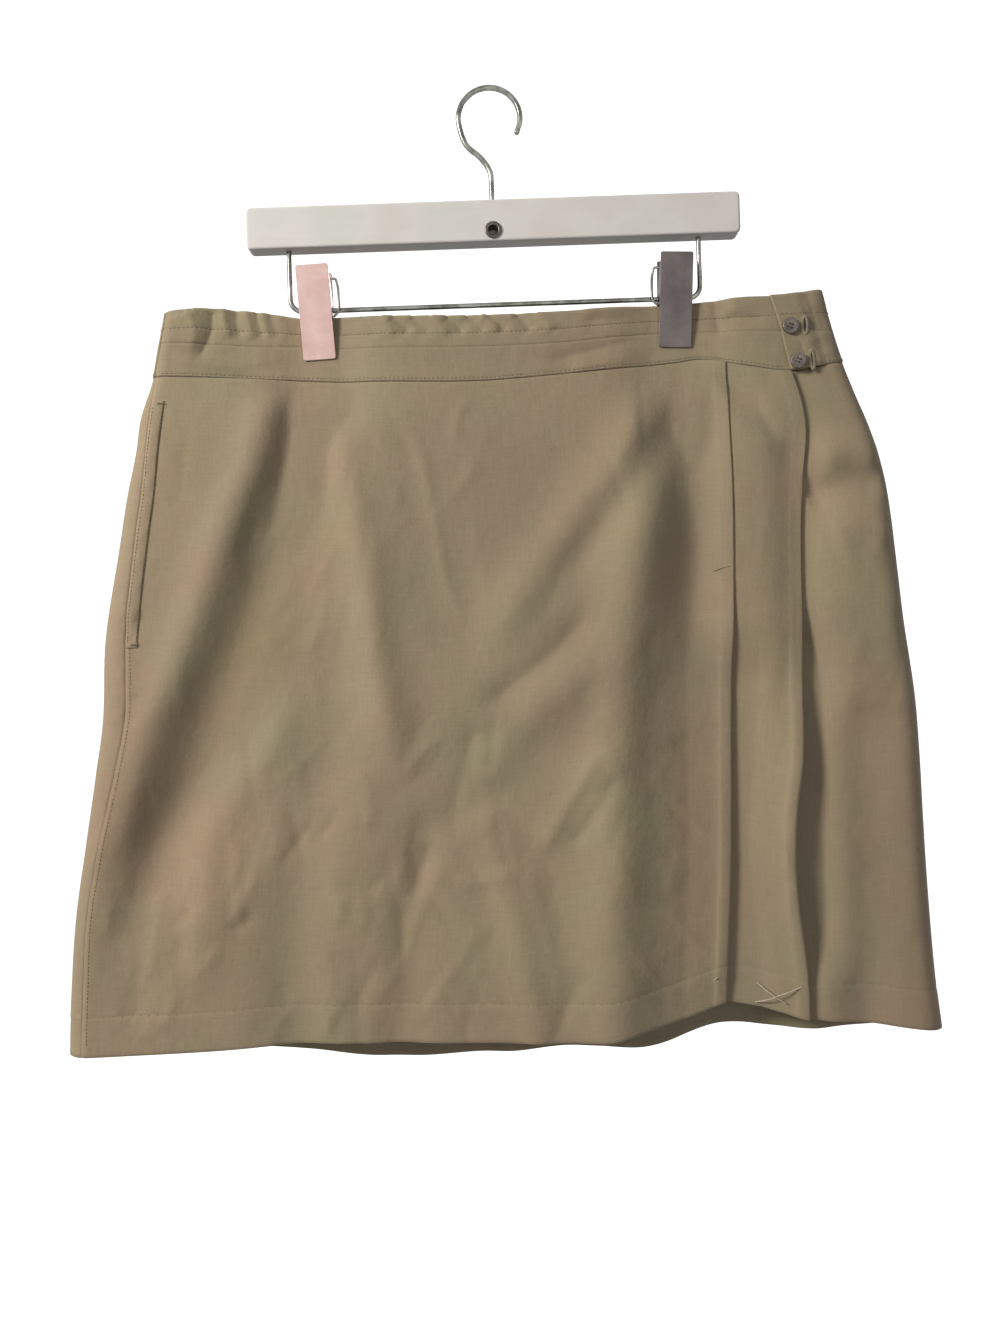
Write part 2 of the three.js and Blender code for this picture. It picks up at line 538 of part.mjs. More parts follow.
function bandBack(upper, stretch) {
  return bandLevels(upper).map(({ share, drop }) => {
    const turn = reading(DEPTHS, 'drop', 'turn', drop);
    const last = turnAngle(BACK_SEAM_INSET + 2 * BAND_SEAM_HALF, drop);
    const whole = ends(section('left', drop) + turn, section('right', drop) - turn);
    const flat = even(...whole[stretch], 9).map((x) => [x, 1]);
    const path = {
      left: [...seamStrip(drop, -BAND_SEAM_HALF, 3), ...sideTurn('left', drop, 35, 65, 2), ...flat],
      middle: flat,
      right: [...flat, ...sideTurn('right', drop, mix(90, last, 0.5), last, 2)],
    }[stretch];
    return path.map(([x, side]) => {
      const z = bandDrop(x, share, upper);
      return new THREE.Vector3(x, side < 0 ? frontY(x, z) : backY(x, z), -z);
    });
  });
}

// ---- what lies on or inside the skirt ----------------------------------------------------------

// The pocket's strip follows the front panel's own points beside the seam, moved out.
function pocketEdge(panel) {
  const level = (drop) => ((drop - nominalDrop(0)) / (nominalDrop(1) - nominalDrop(0))) * (PANEL_LEVELS - 1);
  const [first, last] = [level(POCKET.top), level(POCKET.bottom)];
  const between = range(PANEL_LEVELS).filter((i) => i > first && i < last);
  return [first, ...between, last].map((i) => range(3).map((j) => {
    const [above, below] = [Math.floor(i), Math.ceil(i)];
    const lifted = (row) => outward(panel, row, j).multiplyScalar(CLOTH + POCKET.clear).add(panel[row][j]);
    return lifted(above).lerp(lifted(below), i - above);
  }));
}

// One side of the shorts: a panel with two legs, shut along its sides and along the inseam. The cloth
// stands open between them by a little, and less where the clips press it.
const SHORTS_LEVELS = 9;
const SHORTS_HALF = 8;
const SIDE_ROUND = 9;
const LEG_SPREAD = 1.5;
const PRESS_ENDS = 50;
function shortsPanel(side) {
  const half = even(0, 1, SHORTS_HALF).map((t) => t ** 0.8);
  const across = [...half.slice(1).reverse().map((t) => -t), 0, ...half.slice(1)];
  return even(0, 1, SHORTS_LEVELS).map((share) => across.map((t) => {
    const x = SHORTS.middle + t * mix(SHORTS.waistHalf, SHORTS.hemHalf, soften(share * LEG_SPREAD));
    const off = Math.abs(x - SHORTS.middle) - SHORTS.inseam;
    const bottom = mix(SHORTS.crotch, SHORTS.hem, soften(off / SHORTS.gusset));
    const drop = mix(waist('seam', x) + SHORTS.top, bottom, share);
    const edge = soften((1 - Math.abs(t)) * SIDE_ROUND);
    const legs = soften((drop - SHORTS.crotch + SHORTS.crotchRise) / SHORTS.legsOver);
    const inseam = mix(1, soften(off / SHORTS.crotchRound), legs);
    const waistward = 1 - soften((drop - LEVEL.seam) / PRESS_ENDS);
    const open = mix(SHORTS.open, SHORTS.shut, pinched(x) * waistward);
    return new THREE.Vector3(x, side * mix(SHORTS.shut, open, edge * inseam), -drop);
  }));
}

// A turned button with a dished face and four holes, facing -Y.
function button() {
  const { radius, thick, dish, rimIn, rimOut, round, holes, holeAt, turned } = BUTTON;
  const profile = [
    [0, thick - dish], [radius - rimIn, thick - dish], [radius - rimOut, thick], [radius - dish, thick],
    [radius, thick - round], [radius, round], [radius - round, 0], [0, 0],
  ].map(([x, y]) => new THREE.Vector2(x, y));
  let body = solid(new THREE.LatheGeometry(profile.reverse(), 18));
  range(4).forEach((i) => {
    const turn = (i / 4) * 2 * Math.PI + turned;
    const hole = new THREE.CylinderGeometry(holes, holes, 3 * thick, 6);
    body = body.subtract(solid(hole.translate(holeAt * Math.cos(turn), 0, holeAt * Math.sin(turn))));
  });
  return surface(body).rotateX(Math.PI);
}
const BUTTONS = [
  { name: 'button_upper', across: 206.2, drop: 178.8 },
  { name: 'button_lower', across: 210.6, drop: 203.6 },
];

// ---- hanger ------------------------------------------------------------------------------------

function hangerBar() {
  const shape = roundedPlate(BAR.long - 2 * BAR.edge, BAR.high - 2 * BAR.edge, BAR.corner);
  const blank = new THREE.ExtrudeGeometry(shape, { depth: BAR.thick - 2 * BAR.edge, curveSegments: 3,
    bevelThickness: BAR.edge, bevelSize: BAR.edge, bevelSegments: 1 });
  blank.translate(0, 0, -BAR.thick / 2 + BAR.edge).rotateX(Math.PI / 2);
  blank.translate(0, 0, BAR.bottom + BAR.high / 2);
  const top = BAR.bottom + BAR.high;
  const socket = upright(HOOK.wire + GAP, HOOK.sunk + 2 * GAP, 12).translate(0, 0, top - HOOK.sunk / 2);
  const recess = new THREE.CylinderGeometry(EYELET.tube + GAP, EYELET.tube + GAP, 2 * EYELET.deep, 16);
  recess.translate(0, -BAR.thick / 2, -EYELET.drop);
  let bar = solid(blank).subtract(solid(socket)).subtract(solid(recess));
  [-1, 1].forEach((side) => {
    const hole = upright(RAIL.wire + GAP, 2 * RAIL.sunk + 2 * GAP, 10);
    bar = bar.subtract(solid(hole.translate(side * RAIL.half, 0, BAR.bottom)));
  });
  return surface(bar);
}
function eyelet() {
  const face = GAP;                 // back of the flange stands this far off the bar
  const rim = face + EYELET.proud;
  const end = EYELET.short - EYELET.deep;
  const profile = [
    [EYELET.hole, rim], [EYELET.flange - EYELET.proud / 2, rim], [EYELET.flange, rim - EYELET.proud / 2],
    [EYELET.flange, face], [EYELET.tube, face], [EYELET.tube, end], [EYELET.hole, end], [EYELET.hole, rim],
  ].map(([x, y]) => new THREE.Vector2(x, -y));
  return new THREE.LatheGeometry(profile, 16).translate(0, -BAR.thick / 2, -EYELET.drop);
}
function hook() {
  const top = BAR.bottom + BAR.high;
  const centre = -HOOK.bend + HOOK.wire;
  const shank = [top - HOOK.sunk + GAP, top, top + 12, top + 22].map((z, i) =>
    new THREE.Vector3(i === 3 ? -0.6 : 0, 0, z));
  const rise = [new THREE.Vector3(-7, 0, top + 32.5), new THREE.Vector3(-17, 0, top + 42)];
  return wire([...shank, ...rise, ...arc(0, centre, HOOK.bend, 192, -28, 12)], HOOK.wire, 36);
}
function rail() {
  const x = RAIL.half - RAIL.bend;
  const z = -RAIL.drop + RAIL.bend;
  const leg = (side) => [
    new THREE.Vector3(side * RAIL.half, 0, BAR.bottom + RAIL.sunk),
    new THREE.Vector3(side * RAIL.half, 0, BAR.bottom - 12),
  ];
  const straight = even(-0.75, 0.75, 5).map((t) => new THREE.Vector3(t * x, 0, -RAIL.drop));
  const route = [
    ...leg(-1), ...arc(-x, z, RAIL.bend, 180, 270, 5), ...straight,
    ...arc(x, z, RAIL.bend, 270, 360, 5), ...leg(1).reverse(),
  ];
  return wire(route, RAIL.wire, 56, 6);
}

// A clip's jaws: sheet plates that flare at the top, with cheeks round the rail. "facing" is -1 for
// the front plate and 1 for the back one, whose cheeks stand inside the front one's.
const placeClip = (geometry, side) => geometry.translate(0, 0, -CLIP.top)
  .rotateY(THREE.MathUtils.degToRad(side * CLIP.lean)).translate(side * CLIP.atTop, 0, CLIP.top);
function jawPlate() {
  const shape = roundedPlate(CLIP.wide - 2 * CLIP.edge, CLIP.high - 2 * CLIP.edge, CLIP.corner);
  const blank = new THREE.ExtrudeGeometry(shape, { depth: CLIP.sheet - 2 * CLIP.edge, curveSegments: 2,
    bevelThickness: CLIP.edge, bevelSize: CLIP.edge, bevelSegments: 1 });
  blank.rotateX(Math.PI / 2).translate(0, -CLIP.edge, CLIP.high / 2);
  blank.rotateX(Math.atan2(CLIP.flare - CLIP.grip, CLIP.high));
  return solid(blank.translate(0, -CLIP.grip, CLIP.top - CLIP.high));
}
function cheekLeaf(across) {
  const outline = new THREE.Shape();
  outline.moveTo(-CLIP.flare + CHEEK.sheet / 2, CHEEK.top);
  outline.lineTo(-2, CHEEK.top - 4);
  outline.lineTo(CHEEK.back, CHEEK.top - 4 - CHEEK.slope);
  outline.lineTo(CHEEK.back, CHEEK.bottom);
  outline.lineTo(-CLIP.grip - 3 * CHEEK.sheet, CHEEK.bottom);
  const leaf = new THREE.ExtrudeGeometry(outline, { depth: CHEEK.sheet, bevelEnabled: false });
  const stand = new THREE.Matrix4().makeBasis(new THREE.Vector3(0, 1, 0), new THREE.Vector3(0, 0, 1),
    new THREE.Vector3(1, 0, 0)).setPosition(across - CHEEK.sheet / 2, 0, 0);
  return solid(leaf.applyMatrix4(stand));
}
function jaw(side, facing) {
  const inset = CLIP.wide / 2 - (facing < 0 ? CHEEK.inFront : CHEEK.inBack);
  const around = RAIL.wire + CLIP.play;
  const bore = new THREE.CylinderGeometry(around, around, 2 * CLIP.wide, 12).rotateZ(Math.PI / 2);
  const whole = [-inset, inset].reduce((body, across) => body.add(cheekLeaf(across)), jawPlate());
  const geometry = surface(whole.subtract(solid(bore.translate(0, 0, -RAIL.drop))));
  if (facing > 0) geometry.rotateZ(Math.PI);
  return placeClip(geometry, side);
}
function clipSpring(side) {
  const { inner, outer, half } = SPRING;
  const ring = [[inner, -half], [outer, -half], [outer, half], [inner, half], [inner, -half]]
    .map(([x, y]) => new THREE.Vector2(x, y));
  const coil = new THREE.LatheGeometry(ring, 12).rotateZ(Math.PI / 2).translate(0, 0, -RAIL.drop);
  return placeClip(coil, side);
}
function clipLoop(side) {
  const out = (CLIP.wide / 2 + 1.4) * -side;
  const step = 4 * -side;
  const points = [[out, -7.2, -133.5], [out + step * 0.7, -7.0, -133.8], [out + step, -6.4, -137.5],
    [out + step, -3.8, -147], [out + step * 0.75, -3.5, -155.5], [out, -3.5, -158.5]];
  const loop = wire(points.map((p) => new THREE.Vector3(...p)), LOOP_WIRE, 14, 6);
  return placeClip(loop, side);
}

// ---- assembly ----------------------------------------------------------------------------------

add('hanger_bar', hangerBar(), paint);
add('hanger_eyelet', eyelet(), bronze);
add('hanger_hook', hook(), steel);
add('hanger_rail', rail(), steel);
[['left', -1, roseMetal], ['right', 1, taupeMetal]].forEach(([name, side, metal]) => {
  add(`clip_${name}_front`, jaw(side, -1), metal);
  add(`clip_${name}_back`, jaw(side, 1), metal);
  add(`clip_${name}_spring`, clipSpring(side), steel);
  add(`clip_${name}_loop`, clipLoop(side), steel);
});
const front = frontPanel();
add('front_panel', wall(front, CLOTH), khaki);
add('side_panel', wall(sidePanel(), CLOTH), khakiShade);
add('back_panel', wall(backPanel(), CLOTH), khakiShade);
[['top', true], ['lower', false]].forEach(([name, upper]) => {
  add(`waistband_${name}_tab`, wall(bandTab(upper), BAND), khaki);
  STRETCHES.forEach((stretch) => {
    add(`waistband_${name}_front_${stretch}`, wall(bandFront(upper, stretch), BAND), khakiShade);
    add(`waistband_${name}_back_${stretch}`, wall(bandBack(upper, stretch), BAND), khaki);
  });
});
add('pocket_edge', wall(pocketEdge(front), CLOTH), khakiShade);
add('shorts_front', wall(shortsPanel(-1), CLOTH), khakiShade);
add('shorts_back', wall(shortsPanel(1), CLOTH), khaki);
BUTTONS.forEach(({ name, across, drop }) => {
  const face = frontY(across, drop) - TAB_LIFT - BAND / 2;
  add(name, button(), horn).position.set(across, face - 2 * GAP, -drop);
});

export default group;
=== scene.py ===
"""Pleated khaki skort, hung by its waistband from a flat wooden clip hanger.

The outline comes from the same tables as the solids'. Shapes are worked out in millimetres and turned
to metres when a mesh is made. "Drop" is the depth below the hook, and the wearer's front faces -Y.
"""

import math
import random

import bpy
import numpy as np
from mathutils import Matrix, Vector


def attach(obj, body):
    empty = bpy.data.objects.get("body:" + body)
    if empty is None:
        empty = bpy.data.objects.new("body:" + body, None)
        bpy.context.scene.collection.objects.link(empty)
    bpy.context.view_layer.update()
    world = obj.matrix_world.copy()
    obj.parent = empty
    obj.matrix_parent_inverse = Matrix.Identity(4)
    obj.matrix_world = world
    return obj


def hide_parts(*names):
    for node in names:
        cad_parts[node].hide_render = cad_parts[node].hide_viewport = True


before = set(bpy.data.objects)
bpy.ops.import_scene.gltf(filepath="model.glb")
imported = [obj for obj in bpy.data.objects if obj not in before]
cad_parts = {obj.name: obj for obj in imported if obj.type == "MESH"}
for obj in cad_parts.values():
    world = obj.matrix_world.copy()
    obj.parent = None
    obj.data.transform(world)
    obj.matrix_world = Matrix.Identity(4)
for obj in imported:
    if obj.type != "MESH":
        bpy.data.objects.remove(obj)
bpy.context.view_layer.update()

MM = 0.001
chance = random.Random(41)

# ---- sizes in millimetres, most of them the solids' own ---------------------------------------

GAP = 0.3
SEAM_HALF, SEAM_LINE = 0.3, 0.12
SEAM_DROP = 0.8
TWILL_THICK, BAND = 0.6, 2.0       # the cloth, and a band's doubled cloth
FOLD_PITCH, STITCHED_PITCH = 1.6, 0.8
PLEAT_DEPTH = 16.0
STITCH_END = 350.0                 # where the pleats are no longer stitched down
PLEAT_GAPE, WRAP_GAPE = (2.5, 640.0), (5.0, 560.0)     # how far each opens, and where most
PRESSED = 1.25
BAND_TOP, BAND_MIDDLE, WAIST_SEAM, HEM_LEVEL = 156.0, 180.0, 205.0, 672.0
HEM_TURNED = 27.0
BELOW_HEM = 685.0
CLIP_AT, CLIP_FLAT, CLIP_REACH = 126.5, 12.0, 24.0
BACK_SHARE = 0.9
LEAST_DEPTH, LEAST_UNDER = 5.4, 6.7
FREE_FROM, FREE_BELOW = 190.0, 40.0      # folds grow over this stretch below the waistband
TAB_LIFT = BAND + 0.5
TAB_UNDER = 14.0
BACK_SEAM_INSET = 7.0
BAND_SEAM_HALF = 0.7
UNDER_CLEAR = 1.2
POCKET_TOP, POCKET_BOTTOM, POCKET_WIDE = 216.0, 389.0, 8.0


def mix(a, b, share):
    return a + (b - a) * share


def soften(value):
    t = np.clip(value, 0, 1)
    return t * t * (3 - 2 * t)


def bell(distance, half):
    return np.exp(-(distance / half) ** 2)


class Table:
    """Rows with named columns, read as smooth curves: table("left", drop)."""

    def __init__(self, names, *rows):
        self.names = names.split()
        self.columns = dict(zip(self.names, np.array(rows, float).T))
        keys = self.columns[self.names[0]]
        before, after = np.r_[keys[0], keys[:-1]], np.r_[keys[1:], keys[-1]]
        self.slopes = {}
        for name, values in self.columns.items():
            rise = np.r_[values[1:], values[-1]] - np.r_[values[0], values[:-1]]
            self.slopes[name] = rise / (after - before)

    def __call__(self, column, at):
        keys, values, slopes = self.columns[self.names[0]], self.columns[column], self.slopes[column]
        place = np.clip(at, keys[0], keys[-1])
        i = np.clip(np.searchsorted(keys, place) - 1, 0, len(keys) - 2)
        step = keys[i + 1] - keys[i]
        t = (place - keys[i]) / step
        start = values[i] * (1 + 2 * t) * (1 - t) ** 2 + slopes[i] * step * t * (1 - t) ** 2
        return start + values[i + 1] * t * t * (3 - 2 * t) - slopes[i + 1] * step * t * t * (1 - t)


SECTIONS = Table(
    "drop left right seam pleat wrap",
    (150, -235.0, 231.5, -232.5, 160.0, 192.0),
    (175, -240.5, 237.0, -237.0, 160.3, 199.5),
    (200, -246.0, 244.0, -242.0, 160.6, 205.0),
    (226, -255.0, 253.0, -245.5, 161.0, 211.5),
    (250, -259.0, 262.0, -248.5, 161.0, 214.5),
    (283, -266.5, 271.0, -252.0, 161.0, 211.5),
    (318, -273.0, 275.5, -257.5, 160.4, 208.5),
    (382, -285.0, 281.0, -266.0, 158.5, 207.0),
    (440, -289.0, 287.5, -268.0, 156.5, 205.5),
    (482, -296.0, 289.5, -277.0, 155.0, 203.5),
    (530, -304.5, 290.5, -289.5, 153.5, 197.0),
    (580, -313.0, 292.0, -300.0, 151.5, 196.0),
    (638, -318.5, 295.0, -305.0, 147.5, 201.0),
    (680, -321.0, 299.0, -307.5, 144.5, 201.5),
)
WAIST = Table(
    "across top middle seam",
    (-245, 152.5, 173.5, 197.0), (-209, 151.0, 175.7, 199.0), (-167, 154.6, 178.6, 201.5),
    (-138, 159.1, 179.0, 203.0), (-107, 159.5, 181.5, 205.0), (-18, 162.4, 184.5, 208.5),
    (45, 162.0, 183.6, 205.7), (102, 159.4, 179.0, 201.2), (126, 158.5, 178.0, 199.0),
    (146, 157.7, 178.6, 197.4), (174, 156.2, 180.0, 203.5), (206, 155.8, 181.2, 209.0),
    (245, 149.5, 182.5, 203.0),
)
HEM = Table(
    "across front back",
    (-321, 673.7, 673.7), (-225, 672.0, 678.0), (-154, 669.5, 683.8), (-96, 670.5, 692.0),
    (-20, 672.6, 689.5), (55, 674.0, 689.5), (90, 668.3, 691.0), (122, 660.5, 680.5),
    (148, 652.8, 675.0), (182, 660.0, 678.0), (202, 664.8, 679.5), (250, 670.2, 679.8),
    (299, 676.7, 676.7),
)
DEPTHS = Table(
    "drop open shut turn",
    (150, 6.5, 1.25, 10), (190, 7.5, 1.25, 11), (205, 8.5, 2.8, 12), (260, 14.0, 11.5, 14),
    (340, 17.0, 17.0, 17), (690, 18.0, 18.0, 19),
)


def smoothed(points, per):
    """Centripetal curve through points, an array of (..., count, axes), with "per" steps a stretch."""
    points = np.asarray(points, float)
    first = 2 * points[..., :1, :] - points[..., 1:2, :]
    last = 2 * points[..., -1:, :] - points[..., -2:-1, :]
    run = np.concatenate([first, points, last], axis=-2)
    gaps = np.maximum(np.linalg.norm(np.diff(run, axis=-2), axis=-1, keepdims=True), 1e-6) ** 0.5
    d0, d1, d2 = gaps[..., :-2, :], gaps[..., 1:-1, :], gaps[..., 2:, :]
    p0, p1, p2, p3 = (run[..., k:run.shape[-2] - 3 + k, :] for k in range(4))
    leave = ((p1 - p0) / d0 - (p2 - p0) / (d0 + d1) + (p2 - p1) / d1) * d1
    arrive = ((p2 - p1) / d1 - (p3 - p1) / (d1 + d2) + (p3 - p2) / d2) * d1
    rows = []
    for t in np.arange(per) / per:
        rows.append(p1 * (1 + 2 * t) * (1 - t) ** 2 + leave * t * (1 - t) ** 2
                    + p2 * t * t * (3 - 2 * t) - arrive * t * t * (1 - t))
    mid = np.stack(rows, axis=-2).reshape(*points.shape[:-2], -1, points.shape[-1])
    return np.concatenate([mid, points[..., -1:, :]], axis=-2)


FADE = (0.2, 0.25)


class Fold:
    """A crest, or a trough where "rise" is below zero, along a run of (across, drop) points.

    "fade" is the share of its length over which each end dies away, and a "sharp" above zero gives it
    a narrow top of that width in place of a round one.
    """

    def __init__(self, rise, half, *run, fade=FADE, sharp=0):
        self.rise, self.half, self.fade, self.sharp = rise, half, fade, sharp
        self.line = smoothed(run, 5)

    def height(self, x, drop):
        nearest = np.full(np.shape(x), np.inf)
        share = np.zeros(np.shape(x))
        steps = len(self.line) - 1
        for i, (a, b) in enumerate(zip(self.line[:-1], self.line[1:])):
            dx, dz = b - a
            t = np.clip(((x - a[0]) * dx + (drop - a[1]) * dz) / (dx * dx + dz * dz), 0, 1)
            distance = np.hypot(x - a[0] - t * dx, drop - a[1] - t * dz)
            closer = distance < nearest
            nearest = np.where(closer, distance, nearest)
            share = np.where(closer, (i + t) / steps, share)
        ends = soften(share / self.fade[0])
        if self.line[-1][1] <= BELOW_HEM:
            ends = ends * soften((1 - share) / self.fade[1])
        if self.sharp:
            off = np.hypot(nearest, self.sharp) - self.sharp
            return self.rise * ends * np.exp(-off / self.half)
        return self.rise * ends * bell(nearest, self.half)


# Main folds, close to the solids' own.
FRONT_FOLDS = [
    Fold(5.2, 16, (-150, 190), (-172, 260), (-196, 315), (-216, 370), (-234, 410), (-253, 450), (-280, 540),
         (-314, 660), fade=(0.08, 0.2)),
    Fold(-6, 20, (-122, 190), (-142, 260), (-163, 320), (-186, 380), (-208, 430), (-228, 480), (-252, 540),
         (-290, 660), fade=(0.08, 0.2)),
    Fold(-9, 36, (-118, 195), (-130, 260), (-138, 320), (-143, 370), (-160, 420), (-186, 460), (-208, 500),
         (-238, 540), (-280, 620)),
    Fold(5, 14, (-120, 211), (-108, 280), (-97, 340), (-92, 400), (-84, 450), (-74, 500)),
    Fold(4, 15, (-150, 400), (-165, 455), (-192, 492), (-214, 525), (-216, 575), (-216, 640)),
    Fold(-5, 22, (-120, 365), (-120, 420), (-128, 470), (-142, 510), (-157, 600), (-157, 690)),
    Fold(-3, 28, (-65, 225), (-50, 320), (-20, 430)),
    Fold(5, 17, (120, 200), (100, 240), (78, 274), (50, 308), (23, 344), (-4, 380), (-20, 404)),
    Fold(-1.8, 12, (126, 236), (105, 264), (88, 288), (70, 312), (50, 338), (30, 362)),
    Fold(-2, 14, (70, 364), (38, 400), (8, 424), (-20, 446)),
    Fold(2.5, 16, (66, 400), (40, 425), (12, 450), (-14, 478), (-30, 505)),
    Fold(5, 40, (118, 240), (92, 300), (60, 360), (25, 420), (10, 470)),
    Fold(8, 22, (112, 245), (100, 305), (90, 350), (82, 400), (76, 450), (70, 545), (66, 640), (66, 690)),
    Fold(-9, 21, (138, 205), (135, 290), (134, 360), (136, 430)),
    Fold(-12, 46, (150, 380), (151, 450), (152, 560), (152, 690), fade=(0.25, 0.2)),
    Fold(-3.5, 16, (-62, 500), (-70, 570), (-88, 690)),
    Fold(3.5, 14, (-20, 500), (-5, 560), (15, 690)),
    Fold(-3.5, 7, (150, 200), (166, 218), (182, 238), (198, 262)),
    Fold(-6.5, 18, (207, 222), (208, 290), (207, 360), (205, 420), (202, 500)),
    Fold(3.5, 12, (220, 272), (245, 266), (270, 276)),
    Fold(-5, 12, (212, 300), (238, 291), (274, 292)),
    Fold(2.5, 16, (226, 330), (250, 322), (276, 332)),
    Fold(-6, 19, (243, 430), (246, 510), (247, 600), (243, 690)),
]
WRAP_HOLLOW = Fold(-11, 17, (212, 370), (210, 460), (209, 530), (209, 590), (211, 648))
BACK_FOLDS = [
    Fold(-8, 18, (-122, 208), (-150, 300), (-186, 410), (-214, 520), (-232, 690)),
    Fold(5.5, 17, (-146, 215), (-190, 310), (-232, 430), (-262, 560)),
    Fold(-8, 18, (122, 208), (146, 300), (176, 410), (198, 520), (212, 690)),
    Fold(5.5, 16, (144, 215), (184, 300), (222, 430), (246, 600)),
    Fold(-4, 13, (-108, 225), (-72, 320), (-46, 420), (-40, 500)),
    Fold(4.5, 18, (96, 240), (58, 340), (40, 460), (34, 690)),
    Fold(-5, 17, (-30, 420), (-12, 530), (-6, 690)),
    Fold(4.5, 18, (-110, 430), (-96, 540), (-92, 690)),
    Fold(-4.5, 16, (92, 460), (104, 560), (112, 690)),
]


# Finer creases that only the cloth itself has, sharp along their lines.
def crease(rise, half, *run, fade=FADE):
    return Fold(rise, half, *run, fade=fade, sharp=1.1)


FRONT_CREASES = [
    crease(1.6, 6, (-62, 235), (-50, 290), (-42, 345), (-28, 385)),
    crease(-2.0, 8, (60, 372), (30, 404), (2, 424), (-22, 445)),
    crease(-1.6, 7, (-22, 446), (-32, 475), (-40, 505), (-46, 540)),
    crease(-1.6, 4, (-57, 530), (-66, 552), (-74, 575)),
    crease(1.5, 6, (-48, 545), (-60, 566), (-74, 596), (-78, 620)),
    crease(-1.2, 6, (-92, 528), (-86, 565), (-80, 600), (-79, 622)),
    crease(3.0, 10, (66, 462), (48, 494), (30, 522), (14, 546)),
    crease(-1.8, 6, (74, 484), (58, 514), (34, 544)),
    crease(1.3, 8, (8, 540), (14, 575), (22, 610), (30, 655)),
    crease(-1.3, 5, (-12, 510), (-8, 535), (-4, 555)),
    crease(-1.0, 4, (-11, 445), (-14, 470), (-17, 485)),
    crease(1.0, 5, (-45, 562), (-22, 560), (0, 556)),
    crease(-1.2, 6, (46, 625), (34, 646), (27, 662)),
    crease(1.2, 7, (-108, 475), (-100, 500), (-104, 530)),
    crease(1.2, 7, (-248, 555), (-252, 590), (-258, 625)),
    crease(-1.0, 6, (-234, 585), (-238, 620), (-242, 655)),
    crease(1.0, 6, (-222, 560), (-226, 600), (-224, 640)),
    crease(-0.9, 5, (-262, 600), (-268, 635), (-262, 660)),
    crease(1.0, 6, (-130, 620), (-134, 650), (-128, 690)),
    crease(-1.0, 6, (-116, 600), (-112, 640), (-116, 690)),
    crease(0.9, 5, (-100, 640), (-86, 622), (-76, 604)),
    crease(1.1, 4, (-268, 352), (-263, 364), (-256, 370)),
    crease(-1.0, 4, (-270, 366), (-264, 378), (-258, 384)),
    crease(0.9, 5, (-272, 402), (-266, 416), (-258, 424)),
    crease(-0.9, 5, (-272, 424), (-266, 436), (-260, 442)),
]
BACK_CREASES = [
    crease(1.5, 6, (-60, 240), (-44, 300), (-30, 350), (-12, 395)),
    crease(-1.6, 7, (70, 360), (38, 396), (6, 420), (-20, 450)),
    crease(1.3, 6, (-150, 470), (-172, 510), (-188, 560)),
    crease(-1.2, 5, (20, 505), (12, 540), (14, 580)),
    crease(1.2, 7, (150, 540), (160, 590), (156, 640)),
    crease(-1.0, 5, (-60, 600), (-52, 630), (-56, 668)),
    crease(1.0, 5, (236, 560), (246, 600), (244, 650)),
    crease(-1.1, 6, (-252, 560), (-260, 600), (-262, 640)),
    crease(1.2, 5, (60, 600), (48, 570), (30, 545)),
]


def crumples(seed, count, left, right, top, bottom, leans, depth=1.0):
    """Small creases, each its own length, depth and lean, strewn over one stretch of the cloth."""
    rng = np.random.default_rng(seed)
    folds = []
    for number in range(count):
        x, drop = rng.uniform(left, right), rng.uniform(top, bottom)
        lean = math.radians(rng.normal(leans[number % len(leans)], 14))
        long, bow = rng.uniform(14, 46), rng.uniform(-4, 4)
        along = np.array([math.sin(lean), math.cos(lean)])
        side = np.array([along[1], -along[0]])
        run = [(x, drop) - along * long, (x, drop) + side * bow, (x, drop) + along * long]
        rise = depth * rng.choice([-1, 1], p=[0.55, 0.45]) * rng.uniform(0.3, 0.95)
        folds.append(Fold(rise, rng.uniform(3.0, 6.5), *run, fade=(0.35, 0.4), sharp=rng.uniform(0.5, 1.6)))
    return folds


# Where they are strewn: seed, count, left, right, top, bottom, leans in degrees, depth.
for where in (
    (11, 52, -300, -60, 440, 665, (-24, 12, -40), 1.4),
    (12, 40, -70, 130, 400, 665, (28, -14, 52), 1.25),
    (13, 16, -235, -70, 225, 430, (-30, -6)),
    (14, 14, -70, 110, 225, 400, (40, -12)),
    (15, 10, 165, 195, 240, 650, (4, -6)),
    (16, 16, 222, 285, 300, 660, (60, -8, 80)),
):
    FRONT_CREASES += crumples(*where)
for where in ((21, 60, -290, 290, 420, 665, (24, -20, -42)), (22, 26, -240, 240, 225, 430, (30, -28))):
    BACK_CREASES += crumples(*where)

